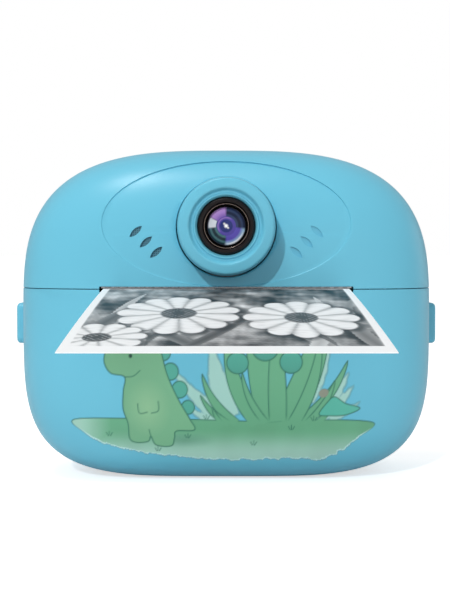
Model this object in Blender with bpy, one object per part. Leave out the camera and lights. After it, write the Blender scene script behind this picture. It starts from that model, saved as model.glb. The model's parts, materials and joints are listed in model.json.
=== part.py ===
"""Children's instant-print camera: a pillow-shaped body with a lens snout, a drop-down paper door with
its platen roller, a small thermal printer inside, a display and keys at the back.

Frame: millimetres here, metres in the scene. X runs across the camera, -Y is the front, +Z is up.
The origin is the middle of the flat base, in the plane where the front and rear mouldings meet.
"""

import math

import bmesh
import bpy
from mathutils import Matrix, Vector

MM = 0.001

# Driving dimensions of the body
HALF_WIDTH = 50.0
WIDEST_Z = 39.5
TOP_HEIGHT = 40.1
BOTTOM_HEIGHT = 40.2
TOP_POWER = 3.1
BOTTOM_POWER = 4.0
FRONT_DEPTH = 27.0
FRONT_POWER = 3.2
REAR_DEPTH = 20.5
REAR_POWER = 7.0
BACK_Y = 19.4
WALL = 2.0
FLOOR_WALL = 1.9
GAP = 0.3
HALF_GAP = GAP / 2
SEAM_Z = 46.0

# Lens and the shallow oval field round it
LENS_Z = 60.5
BROW_Z = 61.1
BROW_HALF_X = 28.4
BROW_HALF_Z = 14.3
BROW_SINK = 0.35
BROW_PLATE = 2.0
NOSE_RADIUS = 11.1
NOSE_FRONT_Y = -36.0
NOSE_SEAT_Y = -24.6

# Paper, platen and print head
PAPER_HALF_WIDTH = 28.5
PAPER_HALF_THICK = 0.15
SLOT_HALF_WIDTH = 29.5
SLOT_HALF_HEIGHT = 0.65
PRINT_LENGTH = 89.0
PRINT_DROOP = 8.1
TEAR_Y = -26.4
PLATEN_Y = -15.0
PLATEN_RADIUS = 3.8
PLATEN_Z = SEAM_Z - PAPER_HALF_THICK - HALF_GAP - PLATEN_RADIUS
ROLL_Y = -8.0
ROLL_Z = 21.5
ROLL_RADIUS = 13.0
CORE_RADIUS = 6.5

# Gear train on the right-hand side plate
GEAR_MODULE = 0.5
PLATEN_TEETH = 20
IDLER_SMALL_TEETH = 16
IDLER_LARGE_TEETH = 30
PINION_TEETH = 10
TRAIN_ANGLE = math.radians(38.0)
INNER_LAYER = (35.2, 36.6)
OUTER_LAYER = (36.9, 38.3)
IDLER_REACH = GEAR_MODULE * (PLATEN_TEETH + IDLER_SMALL_TEETH) / 2
MOTOR_REACH = IDLER_REACH + GEAR_MODULE * (IDLER_LARGE_TEETH + PINION_TEETH) / 2
IDLER_Y = PLATEN_Y + IDLER_REACH * math.cos(TRAIN_ANGLE)
IDLER_Z = PLATEN_Z + IDLER_REACH * math.sin(TRAIN_ANGLE)
MOTOR_Y = PLATEN_Y + MOTOR_REACH * math.cos(TRAIN_ANGLE)
MOTOR_Z = PLATEN_Z + MOTOR_REACH * math.sin(TRAIN_ANGLE)

# Door hinge
HINGE_Y = -4.0
HINGE_Z = 2.6
BARREL_RADIUS = 2.2
PIN_RADIUS = 0.8
DOOR_BARREL_X = 24.0
REAR_BARREL_X = 30.3

# Side plates of the printer
PLATE_INNER_X = 32.3
PLATE_OUTER_X = 33.8

# Screws: upper pair into the front cover, lower pair into the printer's chassis
UPPER_SCREW = (36.5, 67.0)
LOWER_SCREW = (36.0, 12.0)
BOSS_RADIUS = 2.7
SCREW_RADIUS = 1.1

# Keys at the back
PAD_X = -27.5
PAD_Z = 37.0
KEY_PROUD = 0.8
FUNCTION_KEY_Z = 60.0

materials = {}


# ---------------------------------------------------------------- building blocks


def clear_scene():
    for obj in list(bpy.data.objects):
        bpy.data.objects.remove(obj)


def material(name, colour, roughness, metallic=0.0):
    """A Principled material, made once and then shared."""
    if name not in materials:
        made = bpy.data.materials.new(name)
        made.use_nodes = True
        shader = made.node_tree.nodes["Principled BSDF"]
        shader.inputs["Base Color"].default_value = (*colour, 1.0)
        shader.inputs["Roughness"].default_value = roughness
        shader.inputs["Metallic"].default_value = metallic
        materials[name] = made
    return materials[name]


def add_object(name, bm, finish=None):
    """Turns a bmesh in millimetres into an object in metres. Without a finish it is a hidden helper."""
    bmesh.ops.recalc_face_normals(bm, faces=bm.faces)
    bmesh.ops.scale(bm, vec=(MM, MM, MM), verts=bm.verts)
    mesh = bpy.data.meshes.new(name)
    bm.to_mesh(mesh)
    bm.free()
    obj = bpy.data.objects.new(name, mesh)
    bpy.context.scene.collection.objects.link(obj)
    if finish:
        mesh.materials.append(finish)
        mesh.shade_smooth()
        mesh.set_sharp_from_angle(angle=math.radians(35))
    else:
        obj.hide_render = True
        obj.display_type = "WIRE"
    return obj


def combine(target, helper, operation):
    """Adds a Boolean modifier that uses a hidden helper object."""
    modifier = target.modifiers.new(f"{operation.lower()}_{helper.name}", "BOOLEAN")
    modifier.operation = operation
    modifier.object = helper
    modifier.solver = "EXACT"


def boolean(target, helper_mesh, operation):
    """The same with a helper made from a bmesh."""
    helper = add_object(f"helper_{target.name}_{len(target.modifiers)}", helper_mesh)
    combine(target, helper, operation)


def cut(target, helper_mesh):
    boolean(target, helper_mesh, "DIFFERENCE")


def fuse(target, helper_mesh):
    boolean(target, helper_mesh, "UNION")


def bevel(target, width, segments=1):
    modifier = target.modifiers.new("edge_round", "BEVEL")
    modifier.width = width * MM
    modifier.segments = segments
    modifier.limit_method = "ANGLE"
    modifier.angle_limit = math.radians(40)


def box(low, high):
    bm = bmesh.new()
    bmesh.ops.create_cube(bm, size=1.0)
    low, high = Vector(low), Vector(high)
    bmesh.ops.scale(bm, vec=high - low, verts=bm.verts)
    bmesh.ops.translate(bm, vec=(low + high) / 2, verts=bm.verts)
    return bm


AXIS_TURNS = {
    "X": Matrix.Rotation(math.radians(90), 3, "Y"),
    "Y": Matrix.Rotation(math.radians(-90), 3, "X"),
    "Z": Matrix.Identity(3),
}


def cylinder(axis, start, length, radius, segments=24):
    """A cylinder from the point start, along +axis for length."""
    bm = bmesh.new()
    bmesh.ops.create_cone(
        bm, cap_ends=True, segments=segments, radius1=radius, radius2=radius, depth=length
    )
    bmesh.ops.translate(bm, vec=(0, 0, length / 2), verts=bm.verts)
    bmesh.ops.rotate(bm, matrix=AXIS_TURNS[axis], verts=bm.verts)
    bmesh.ops.translate(bm, vec=start, verts=bm.verts)
    return bm


def turned(axis, centre, profile, segments=32):
    """Spins a closed profile of (radius, distance along the axis) points round the axis."""
    bm = bmesh.new()
    verts = [bm.verts.new((radius, 0, along)) for radius, along in profile]
    edges = [bm.edges.new((verts[i - 1], verts[i])) for i in range(len(verts))]
    bmesh.ops.spin(
        bm, geom=verts + edges, axis=(0, 0, 1), cent=(0, 0, 0), steps=segments, angle=2 * math.pi
    )
    bmesh.ops.remove_doubles(bm, verts=bm.verts, dist=1e-4)
    bmesh.ops.rotate(bm, matrix=AXIS_TURNS[axis], verts=bm.verts)
    bmesh.ops.translate(bm, vec=centre, verts=bm.verts)
    return bm


PLANES = {
    "X": lambda u, v, t: (t, u, v),
    "Y": lambda u, v, t: (u, t, v),
    "Z": lambda u, v, t: (u, v, t),
}


def prism(axis, outline, start, end):
    """Extrudes a flat outline along the axis; the outline's two numbers are the other two coordinates."""
    bm = bmesh.new()
    place = PLANES[axis]
    face = bm.faces.new([bm.verts.new(place(u, v, start)) for u, v in outline])
    grown = bmesh.ops.extrude_face_region(bm, geom=[face])["geom"]
    moved = [v for v in grown if isinstance(v, bmesh.types.BMVert)]
    bmesh.ops.translate(bm, vec=place(0, 0, end - start), verts=moved)
    return bm


def merged(*parts):
    """Several bmeshes in one, for a helper that cuts in many places."""
    whole = bmesh.new()
    for part in parts:
        mesh = bpy.data.meshes.new("part")
        part.to_mesh(mesh)
        part.free()
        whole.from_mesh(mesh)
        bpy.data.meshes.remove(mesh)
    return whole


def tilted(bm, centre, angle, axis="Y"):
    """Turns a bmesh about an axis through centre."""
    bmesh.ops.rotate(bm, cent=centre, matrix=Matrix.Rotation(angle, 3, axis), verts=bm.verts)
    return bm


def arc(centre, radius, start, end, steps):
    """Points on an arc, both ends included; angles in degrees."""
    angles = [math.radians(start + (end - start) * i / steps) for i in range(steps + 1)]
    return [(centre[0] + radius * math.cos(a), centre[1] + radius * math.sin(a)) for a in angles]


def rounded_rectangle(low, high, radius, steps=3):
    (u0, v0), (u1, v1) = low, high
    return (
        arc((u1 - radius, v0 + radius), radius, -90, 0, steps)
        + arc((u1 - radius, v1 - radius), radius, 0, 90, steps)
        + arc((u0 + radius, v1 - radius), radius, 90, 180, steps)
        + arc((u0 + radius, v0 + radius), radius, 180, 270, steps)
    )


def leaf(centre, half_length, half_width, angle, steps=4):
    """A pointed oval, as two shallow arcs, turned by angle degrees."""
    reach = (half_length**2 - half_width**2) / (2 * half_width)
    radius = reach + half_width
    spread = math.degrees(math.asin(half_length / radius))
    upper = arc((0, -reach), radius, 90 - spread, 90 + spread, steps)
    lower = arc((0, reach), radius, 270 - spread, 270 + spread, steps)
    turn = math.radians(angle)
    outline = upper[:-1] + lower[:-1]
    return [
        (
            centre[0] + u * math.cos(turn) - v * math.sin(turn),
            centre[1] + u * math.sin(turn) + v * math.cos(turn),
        )
        for u, v in outline
    ]


# ---------------------------------------------------------------- the pillow-shaped body


def body_outline(inset, count):
    """The body's outline in X and Z at its widest plane, as evenly spaced points, pulled in by inset."""
    width = HALF_WIDTH - inset
    heights = {True: TOP_HEIGHT - inset, False: BOTTOM_HEIGHT - inset}
    dense = []
    for i in range(2400):
        angle = 2 * math.pi * i / 2400
        c, s = math.cos(angle), math.sin(angle)
        power = TOP_POWER if s >= 0 else BOTTOM_POWER
        u = width * math.copysign(abs(c) ** (2 / power), c)
        v = heights[s >= 0] * math.copysign(abs(s) ** (2 / power), s)
        dense.append(Vector((u, v)))
    run = [0.0]
    for a, b in zip(dense, dense[1:] + dense[:1]):
        run.append(run[-1] + (b - a).length)
    points, k = [], 0
    for i in range(count):
        target = run[-1] * i / count
        while run[k + 1] < target:
            k += 1
        share = (target - run[k]) / (run[k + 1] - run[k])
        points.append(dense[k].lerp(dense[(k + 1) % len(dense)], share))
    return points


def pillow_rings(side, inset, depth, power, rings, limit=None, count=48):
    """Rings from the widest plane to the crown. side is -1 for the front half and 1 for the rear."""
    outline = body_outline(inset, count)
    floor = FLOOR_WALL if inset else 0.0
    floor = floor * inset / WALL if inset else 0.0
    found = []
    for i in range(rings + 1):
        angle = math.radians(88.5) * i / rings
        shrink = math.cos(angle) ** (2 / power)
        reach = depth * math.sin(angle) ** (2 / power)
        if limit is not None and reach > limit:
            shrink = (1 - (limit / depth) ** power) ** (1 / power)
            reach = limit
        y = side * (HALF_GAP + reach)
        found.append([(shrink * p.x, y, max(WIDEST_Z + shrink * p.y, floor)) for p in outline])
        if limit is not None and reach >= limit:
            break
    return found


def add_ring(bm, points):
    return [bm.verts.new(p) for p in points]


def skin(bm, near, far):
    """Faces between two rings with the same number of corners."""
    for i in range(len(near)):
        bm.faces.new((near[i - 1], near[i], far[i], far[i - 1]))


def crown(bm, rings):
    """Skins rings of points into a bowl and closes its middle. Returns the rim's corners."""
    loops = [add_ring(bm, ring) for ring in rings]
    for near, far in zip(loops, loops[1:]):
        skin(bm, near, far)
    bm.faces.new(loops[-1])
    return loops[0]


def half_shell(side, depth, power, wall, rings, limit=None):
    """Half of the hollow body: an outer bowl, an inner bowl and the rim that joins them."""
    bm = bmesh.new()
    inner_limit = None if limit is None else limit - wall
    outer = crown(bm, pillow_rings(side, 0, depth, power, rings, limit))
    inner = crown(bm, pillow_rings(side, wall, depth - wall, power, rings - 2, inner_limit))
    skin(bm, outer, inner)
    return bm


def front_y(x, z):
    """Where the front's outer surface lies at a place in X and Z."""
    upper = z >= WIDEST_Z
    power = TOP_POWER if upper else BOTTOM_POWER
    height = TOP_HEIGHT if upper else BOTTOM_HEIGHT
    share = (abs(x) / HALF_WIDTH) ** power + (abs(z - WIDEST_Z) / height) ** power
    share = share ** (FRONT_POWER / power)
    return -HALF_GAP - FRONT_DEPTH * max(1 - share, 0) ** (1 / FRONT_POWER)


def brow_y(x, z):
    """The oval field round the lens lies a little below the skin round it."""
    return front_y(x, z) + BROW_SINK


def brow_plate(overlap):
    """The oval field as a curved plate, a little larger than its opening at the back."""
    bm = bmesh.new()
    rims = []
    for shift in (0.0, BROW_PLATE):
        loops = []
        for share in (1.0, 0.8, 0.6, 0.4):
            angles = [2 * math.pi * i / 48 for i in range(48)]
            half_x = share * (BROW_HALF_X + overlap)
            half_z = share * (BROW_HALF_Z + overlap)
            flat = [(half_x * math.cos(a), BROW_Z + half_z * math.sin(a)) for a in angles]
            loops.append(add_ring(bm, [(x, brow_y(x, z) + shift, z) for x, z in flat]))
        for near, far in zip(loops, loops[1:]):
            skin(bm, near, far)
        middle = bm.verts.new((0, brow_y(0, BROW_Z) + shift, BROW_Z))
        for i in range(48):
            bm.faces.new((loops[-1][i - 1], loops[-1][i], middle))
        rims.append(loops[0])
    skin(bm, *rims)
    return bm


def oval_cutter(inset):
    """A deep oval prism a little smaller than the brow."""
    outline = [
        (
            (BROW_HALF_X - inset) * math.cos(2 * math.pi * i / 48),
            BROW_Z + (BROW_HALF_Z - inset) * math.sin(2 * math.pi * i / 48),
        )
        for i in range(48)
    ]
    return prism("Y", outline, -40.0, -5.0)


# ---------------------------------------------------------------- covers


def leaf_places(side):
    """Middles of the three leaf-shaped openings or hollows beside the lens."""
    return [(side * (18.6 + 2.4 * k), 57.0 + 2.4 * k) for k in (-1, 0, 1)]


def make_front_cover():
    cover = add_object(
        "front_cover", half_shell(-1, FRONT_DEPTH, FRONT_POWER, WALL, 8), shell_plastic()
    )
    cut(cover, box((-60, -60, -10), (60, 10, SEAM_Z + HALF_GAP)))
    cut(cover, oval_cutter(0.0))
    fuse(cover, brow_plate(0.6))
    for side in (-1, 1):
        x, z = side * UPPER_SCREW[0], UPPER_SCREW[1]
        fuse(cover, cylinder("Y", (x, -15.4, z), 15.1, BOSS_RADIUS, 16))
        cut(cover, cylinder("Y", (x, -9.0, z), 12.0, SCREW_RADIUS + 0.15, 16))
    nose = (0, -40.0, LENS_Z)
    seat = cylinder("Y", nose, 40.0 + NOSE_SEAT_Y, NOSE_RADIUS + 0.8, 40)
    bore = cylinder("Y", nose, 25.0, 9.5, 40)
    slots = [prism("Y", leaf(p, 1.6, 0.62, 42), -40.0, -12.0) for p in leaf_places(-1)]
    mouth_top = SEAM_Z + SLOT_HALF_HEIGHT
    slot_mouth = box((-SLOT_HALF_WIDTH, -40, SEAM_Z - 3), (SLOT_HALF_WIDTH, -20, mouth_top))
    cut(cover, seat)
    cut(cover, merged(bore, slot_mouth, *slots))
    marks = []
    for place in leaf_places(1):
        outline = leaf(place, 1.6, 0.7, -42)
        marks.append(prism("Y", outline, -40.0, brow_y(*place) + 0.5))
    cut(cover, merged(*marks))


def make_paper_door():
    door = add_object(
        "paper_door", half_shell(-1, FRONT_DEPTH, FRONT_POWER, WALL, 8), shell_plastic()
    )
    cut(door, box((-60, -60, SEAM_Z - HALF_GAP), (60, 10, 90)))
    relief = box((-REAR_BARREL_X - 0.6, HINGE_Y - 2.8, -5), (REAR_BARREL_X + 0.6, 5, 5.4))
    heel = box((-40, -1.2, -5), (40, 5, 4.2))
    mouth = box((-SLOT_HALF_WIDTH, -40, SEAM_Z - SLOT_HALF_HEIGHT), (SLOT_HALF_WIDTH, -20, 60))
    cut(door, relief)
    cut(door, merged(heel, mouth))
    web = box((-DOOR_BARREL_X, HINGE_Y - 3.6, 0.9), (DOOR_BARREL_X, HINGE_Y - 1.0, 3.4))
    fuse(door, web)
    fuse(door, cylinder("X", (-DOOR_BARREL_X, HINGE_Y, HINGE_Z), 2 * DOOR_BARREL_X, BARREL_RADIUS, 20))
    bores = [
        cylinder("X", (x, HINGE_Y, HINGE_Z), 9.0, PIN_RADIUS + 0.15, 12)
        for x in (-DOOR_BARREL_X - 1.0, DOOR_BARREL_X - 8.0)
    ]
    cut(door, merged(*bores))
    for x in (-20.0, 20.0):
        fuse(door, cylinder("Y", (x, -25.0, 39.6), 2.5, 2.0, 12))
    for side in (-1, 1):
        x0, x1 = sorted((side * 47.6, side * 48.6))
        fuse(door, box((x0, -3.5, 33.0), (x1, -2.3, 39.4)))


def make_rear_cover():
    limit = BACK_Y - HALF_GAP
    cover = add_object(
        "rear_cover", half_shell(1, REAR_DEPTH, REAR_POWER, WALL, 8, limit), shell_plastic()
    )
    fuse(cover, box((-23.4, HINGE_Y + 2.5, 0.0), (23.4, 1.5, 1.7)))
    for side in (-1, 1):
        x0, x1 = sorted((side * (DOOR_BARREL_X + GAP), side * REAR_BARREL_X))
        fuse(cover, box((x0, HINGE_Y + 1.0, 0.9), (x1, 2.0, 4.4)))
        fuse(cover, cylinder("X", (x0, HINGE_Y, HINGE_Z), x1 - x0, BARREL_RADIUS, 20))
        start = min(side * (DOOR_BARREL_X - 1), side * (REAR_BARREL_X - 1.2))
        cut(cover, cylinder("X", (start, HINGE_Y, HINGE_Z), 6.1, PIN_RADIUS + 0.15, 12))
        fuse(cover, cylinder("Y", (side * UPPER_SCREW[0], 0.3, UPPER_SCREW[1]), 17.6, BOSS_RADIUS, 16))
        fuse(cover, cylinder("Y", (side * LOWER_SCREW[0], 7.6, LOWER_SCREW[1]), 10.6, BOSS_RADIUS, 16))
        for x, z in (UPPER_SCREW, LOWER_SCREW):
            shaft = cylinder("Y", (side * x, -1.0, z), 25.0, SCREW_RADIUS + 0.15, 16)
            head = cylinder("Y", (side * x, 16.2, z), 8.0, 2.35, 16)
            cut(cover, shaft)
            cut(cover, head)
        button_x = min(side * 44.0, side * 54.0)
        cut(cover, box((button_x, 1.2, 31.3), (button_x + 10.0, 8.8, 42.1)))
    window = prism("Y", rounded_rectangle((-11.5, 24.5), (38.5, 62.5), 3.0), BACK_Y - 1.2, BACK_Y + 5)
    opening = prism("Y", rounded_rectangle((-8.5, 27.5), (35.5, 59.5), 1.5), 10.0, BACK_Y + 5)
    cut(cover, window)
    keys = [prism("Y", outline, 15.0, 25.0) for outline in key_outlines(GAP).values()]
    cut(cover, merged(opening, *keys))
    for place in TOP_BUTTONS.values():
        cut(cover, top_button_cutter(place))
    recess = add_object("helper_port_recess", port_block(0.3))
    cut(recess, rear_bowl(1.4))
    combine(cover, recess, "DIFFERENCE")
    ports = [box((40, 10.3, 30.6), (55, 12.9, 38.4)), box((40, 10.4, 18.9), (55, 11.4, 29.3))]
    cut(cover, merged(*ports))


# ---------------------------------------------------------------- lens


def make_lens():
    centre = (0, 0, LENS_Z)
    rim = [(11.1 - 1.2 + 1.2 * math.cos(a), -34.8 - 1.2 * math.sin(a)) for a in quarter(4)]
    nose = (
        [(9.2, -21.0), (9.2, NOSE_SEAT_Y - GAP), (11.6, NOSE_SEAT_Y - GAP), (11.25, -31.0)]
        + rim
        + [(9.0, -35.5), (8.1, -34.7), (7.5, -34.7), (7.3, -35.2), (6.9, -35.2), (6.7, -34.8)]
        + [(6.7, -21.0)]
    )
    add_object("lens_nose", turned("Y", centre, nose, 36), shell_plastic())
    bezel = [(6.4, -30.0), (6.4, -34.9), (6.1, -35.5), (5.3, -35.3), (5.1, -33.6), (5.1, -30.0)]
    black = material("black_plastic", (0.012, 0.010, 0.011), 0.32)
    add_object("lens_bezel", turned("Y", centre, bezel, 32), black)
    trim = [(5.0, -33.2), (5.0, -34.6), (4.75, -34.9), (4.65, -34.5), (4.65, -33.2)]
    steel = material("trim_metal", (0.75, 0.72, 0.68), 0.2, 1.0)
    add_object("lens_trim_ring", turned("Y", centre, trim, 32), steel)
    dome = [(0.02, -31.6), (4.5, -31.6), (4.5, -32.9), (3.4, -33.5), (1.8, -33.9), (0.02, -34.0)]
    glass = material("lens_glass", (0.05, 0.05, 0.12), 0.05)
    add_object("lens_window", solid_turned("Y", centre, dome, 24), glass)
    barrel = [(6.2, -20.4), (6.2, -29.7), (4.9, -29.7), (4.9, -31.2), (4.2, -31.2), (3.2, -28.0)]
    add_object("lens_barrel", turned("Y", centre, barrel + [(3.2, -20.4)], 24), black)
    element = [(0.02, -26.0), (2.9, -26.0), (2.9, -27.2), (1.6, -28.0), (0.02, -28.3)]
    add_object("inner_lens", solid_turned("Y", centre, element, 24), glass)
    board = add_object(
        "sensor_board", box((-7.5, -20.1, LENS_Z - 7.5), (7.5, -18.9, LENS_Z + 7.5)), board_green()
    )
    fuse(board, box((-2.3, -21.0, LENS_Z - 1.8), (2.3, -19.5, LENS_Z + 1.8)))


def quarter(steps):
    return [math.pi / 2 * i / steps for i in range(steps + 1)]


def solid_turned(axis, centre, profile, segments):
    """A turned solid whose profile starts and ends on the axis."""
    bm = bmesh.new()
    verts = [bm.verts.new((radius if radius > 0.1 else 0, 0, along)) for radius, along in profile]
    edges = [bm.edges.new((a, b)) for a, b in zip(verts, verts[1:])]
    bmesh.ops.spin(
        bm, geom=verts + edges, axis=(0, 0, 1), cent=(0, 0, 0), steps=segments, angle=2 * math.pi
    )
    bmesh.ops.remove_doubles(bm, verts=bm.verts, dist=1e-4)
    bmesh.ops.rotate(bm, matrix=AXIS_TURNS[axis], verts=bm.verts)
    bmesh.ops.translate(bm, vec=centre, verts=bm.verts)
    return bm


# ---------------------------------------------------------------- printer


def make_chassis():
    """Side plates, the cradle that the roll drops into, the bar above the head and the screw lugs."""
    grey = material("chassis_plastic", (0.16, 0.17, 0.18), 0.5)
    cradle = [(7.2, 42.0), (6.0, 42.0), (6.0, 21.5)]
    cradle += arc((ROLL_Y, ROLL_Z), 14.0, -5, -120, 8)
    cradle += arc((ROLL_Y, ROLL_Z), 15.2, -120, -60, 5)
    cradle += [(3.0, 7.2), (7.2, 7.2)]
    chassis = add_object("print_chassis", prism("X", cradle, -32.6, 32.6), grey)
    profile = [(-14.0, 8.0), (7.2, 8.0), (7.2, 42.0), (4.0, 54.2), (-18.0, 54.2), (-18.0, 46.6)]
    profile += [(-11.0, 46.6), (-11.0, 37.0), (-17.0, 30.0), (-19.0, 22.0), (-19.0, 13.0)]
    for side in (-1, 1):
        start, end = sorted((side * PLATE_INNER_X, side * PLATE_OUTER_X))
        fuse(chassis, prism("X", profile, start, end))
        start, end = sorted((side * 33.2, side * 39.4))
        fuse(chassis, box((start, 2.0, 9.0), (end, 7.2, 15.0)))
        x0, x1 = sorted((side * 33.2, side * 40.0))
        fuse(chassis, box((x0, 2.8, 34.0), (x1, 7.2, 38.4)))
        cut(chassis, cylinder("Y", (side * LOWER_SCREW[0], 3.2, LOWER_SCREW[1]), 5.0, 1.25, 16))
    fuse(chassis, box((-32.6, -17.8, 53.0), (32.6, -13.4, 54.2)))
    holes = [cylinder("X", (-36.0, *HEAD_PIVOT), 72.0, 1.1, 12)]
    holes += [cylinder("X", (30.0, IDLER_Y, IDLER_Z), 6.0, 1.15, 16)]
    holes += [cylinder("X", (30.0, MOTOR_Y, MOTOR_Z), 6.0, 1.6, 16)]
    cut(chassis, merged(*holes))


HEAD_PIVOT = (-11.5, 48.9)


def make_print_head():
    aluminium = material("head_aluminium", (0.62, 0.63, 0.65), 0.38, 1.0)
    low, high = (-31.6, -19.4, 47.35), (31.6, -6.3, 49.6)
    sink = add_object("head_heat_sink", box(low, high), aluminium)
    fuse(sink, cylinder("X", (-33.6, *HEAD_PIVOT), 67.2, 0.9, 12))
    ceramic = material("head_ceramic", (0.82, 0.80, 0.72), 0.3)
    strip = [(-19.2, 46.4), (-11.0, 46.4), (-11.0, 47.1), (-19.2, 47.1)]
    add_object("thermal_head", prism("X", strip, -28.4, 28.4), ceramic)
    for name, x in (("head_spring_left", -18.0), ("head_spring_right", 18.0)):
        make_spring(name, "Z", (x, -15.6, 49.9), 2.8, 1.6, 0.22, 3)


def make_spring(name, axis, start, length, radius, wire, turns):
    """A coil spring as a wire along a helix."""
    steps = 8 * turns
    curve = bpy.data.curves.new(name, "CURVE")
    curve.dimensions = "3D"
    curve.bevel_depth = wire * MM
    curve.bevel_resolution = 0
    curve.use_fill_caps = True
    spline = curve.splines.new("POLY")
    spline.points.add(steps)
    for i, point in enumerate(spline.points):
        angle = 2 * math.pi * turns * i / steps
        along = wire + (length - 2 * wire) * i / steps
        local = Vector((radius * math.cos(angle), radius * math.sin(angle), along))
        place = (AXIS_TURNS[axis] @ local + Vector(start)) * MM
        point.co = (*place, 1.0)
    obj = bpy.data.objects.new(name, curve)
    curve.materials.append(material("spring_steel", (0.6, 0.6, 0.62), 0.3, 1.0))
    bpy.context.scene.collection.objects.link(obj)


def gear_outline(teeth, phase):
    """Points round a spur gear with straight-sided teeth; phase turns it by that share of a pitch."""
    pitch_radius = GEAR_MODULE * teeth / 2
    levels = ((-0.29, -1.15), (-0.135, 0.9), (0.135, 0.9), (0.29, -1.15))
    points = []
    for k in range(teeth):
        for share, height in levels:
            angle = 2 * math.pi * (k + share + phase) / teeth
            radius = pitch_radius + height * GEAR_MODULE
            points.append((radius * math.cos(angle), radius * math.sin(angle)))
    return points


def make_gear(name, centre, layers, bore, finish):
    """A gear of one or more layers, each (teeth, phase, start, end), with a bore through them all."""
    first, *others = [
        prism("X", [(centre[0] + u, centre[1] + v) for u, v in gear_outline(teeth, phase)], *span)
        for teeth, phase, *span in layers
    ]
    gear = add_object(name, first, finish)
    for other in others:
        fuse(gear, other)
    cut(gear, cylinder("X", (30.0, *centre), 12.0, bore, 16))
    return gear


def meshing_phase(teeth, angle, in_gap):
    """Turns a gear so that a tooth, or a gap, points along angle."""
    share = teeth * angle / (2 * math.pi)
    return share + (0.5 if in_gap else 0.0)


def make_gear_train():
    nylon = material("gear_nylon", (0.86, 0.85, 0.80), 0.45)
    back = TRAIN_ANGLE + math.pi
    platen = (PLATEN_TEETH, meshing_phase(PLATEN_TEETH, TRAIN_ANGLE, False), *INNER_LAYER)
    make_gear("platen_gear", (PLATEN_Y, PLATEN_Z), [platen], 1.65, nylon)
    small = (IDLER_SMALL_TEETH, meshing_phase(IDLER_SMALL_TEETH, back, True), INNER_LAYER[0], 37.4)
    large = (IDLER_LARGE_TEETH, meshing_phase(IDLER_LARGE_TEETH, TRAIN_ANGLE, False), *OUTER_LAYER)
    make_gear("idler_gear", (IDLER_Y, IDLER_Z), [small, large], 1.15, nylon)
    pinion = (PINION_TEETH, meshing_phase(PINION_TEETH, back, True), *OUTER_LAYER)
    brass = material("pinion_brass", (0.75, 0.56, 0.24), 0.3, 1.0)
    make_gear("motor_pinion", (MOTOR_Y, MOTOR_Z), [pinion], 0.85, brass)
    steel = material("shaft_steel", (0.62, 0.63, 0.65), 0.25, 1.0)
    axle = add_object("idler_axle", cylinder("X", (32.4, IDLER_Y, IDLER_Z), 6.5, 1.0, 16), steel)
    fuse(axle, cylinder("X", (38.6, IDLER_Y, IDLER_Z), 0.6, 1.7, 16))
    motor = add_object(
        "stepper_motor", cylinder("X", (18.0, MOTOR_Y, MOTOR_Z), 14.0, 6.9, 28), steel
    )
    fuse(motor, cylinder("X", (31.0, MOTOR_Y, MOTOR_Z), 7.2, 0.7, 12))


def make_platen():
    centre = (0, PLATEN_Y, PLATEN_Z)
    steel = material("shaft_steel", (0.62, 0.63, 0.65), 0.25, 1.0)
    add_object("platen_shaft", cylinder("X", (-32.15, PLATEN_Y, PLATEN_Z), 68.9, 1.4, 20), steel)
    rubber = material("platen_rubber", (0.03, 0.03, 0.032), 0.75)
    sleeve = [(1.6, -29.0), (PLATEN_RADIUS, -29.0), (PLATEN_RADIUS, 29.0), (1.6, 29.0)]
    add_object("platen_sleeve", turned("X", centre, sleeve, 28), rubber)
    bronze = material("bush_bronze", (0.62, 0.42, 0.22), 0.4, 1.0)
    bush = [(1.6, -0.85), (2.1, -0.85), (2.1, 0.85), (1.6, 0.85)]
    for name, x in (("platen_bush_left", -31.25), ("platen_bush_right", 31.25)):
        add_object(name, turned("X", (x, PLATEN_Y, PLATEN_Z), bush, 20), bronze)
    grey = material("chassis_plastic", (0.16, 0.17, 0.18), 0.5)
    carrier = add_object("platen_carrier", box((-31.9, -22.2, 36.0), (31.9, -20.9, 43.6)), grey)
    ear = [(-22.0, 37.2), (-15.0, 38.4), (-12.2, 39.6), (-12.2, 44.2), (-15.0, 45.2), (-22.0, 43.4)]
    for x in (-31.9, 30.6):
        fuse(carrier, prism("X", ear, x, x + 1.3))
    cut(carrier, cylinder("X", (-34.0, PLATEN_Y, PLATEN_Z), 68.0, 2.25, 20))


def make_paper():
    white = material("thermal_paper", (0.90, 0.91, 0.92), 0.7)
    roll = [(CORE_RADIUS + 0.3, -28.5), (ROLL_RADIUS, -28.5), (ROLL_RADIUS, 28.5)]
    roll.append((CORE_RADIUS + 0.3, 28.5))
    add_object("paper_roll", turned("X", (0, ROLL_Y, ROLL_Z), roll, 32), white)
    core = [(CORE_RADIUS - 1.3, -29.2), (CORE_RADIUS, -29.2), (CORE_RADIUS, 29.2)]
    core.append((CORE_RADIUS - 1.3, 29.2))
    card = material("core_card", (0.45, 0.36, 0.26), 0.8)
    add_object("roll_core", turned("X", (0, ROLL_Y, ROLL_Z), core, 24), card)
    add_object("paper_web", ribbon(web_line()), white)
    add_object("printed_photo", ribbon(print_line()), white)


def ribbon(line):
    """A sheet of paper that follows a line of (y, z) points, as a thin solid."""
    upper, lower = [], []
    for i, point in enumerate(line):
        before = line[max(i - 1, 0)]
        after = line[min(i + 1, len(line) - 1)]
        along = (Vector(after) - Vector(before)).normalized()
        across = Vector((-along.y, along.x)) * PAPER_HALF_THICK
        upper.append(Vector(point) + across)
        lower.append(Vector(point) - across)
    outline = [tuple(p) for p in upper + lower[::-1]]
    return prism("X", outline, -PAPER_HALF_WIDTH, PAPER_HALF_WIDTH)


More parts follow.
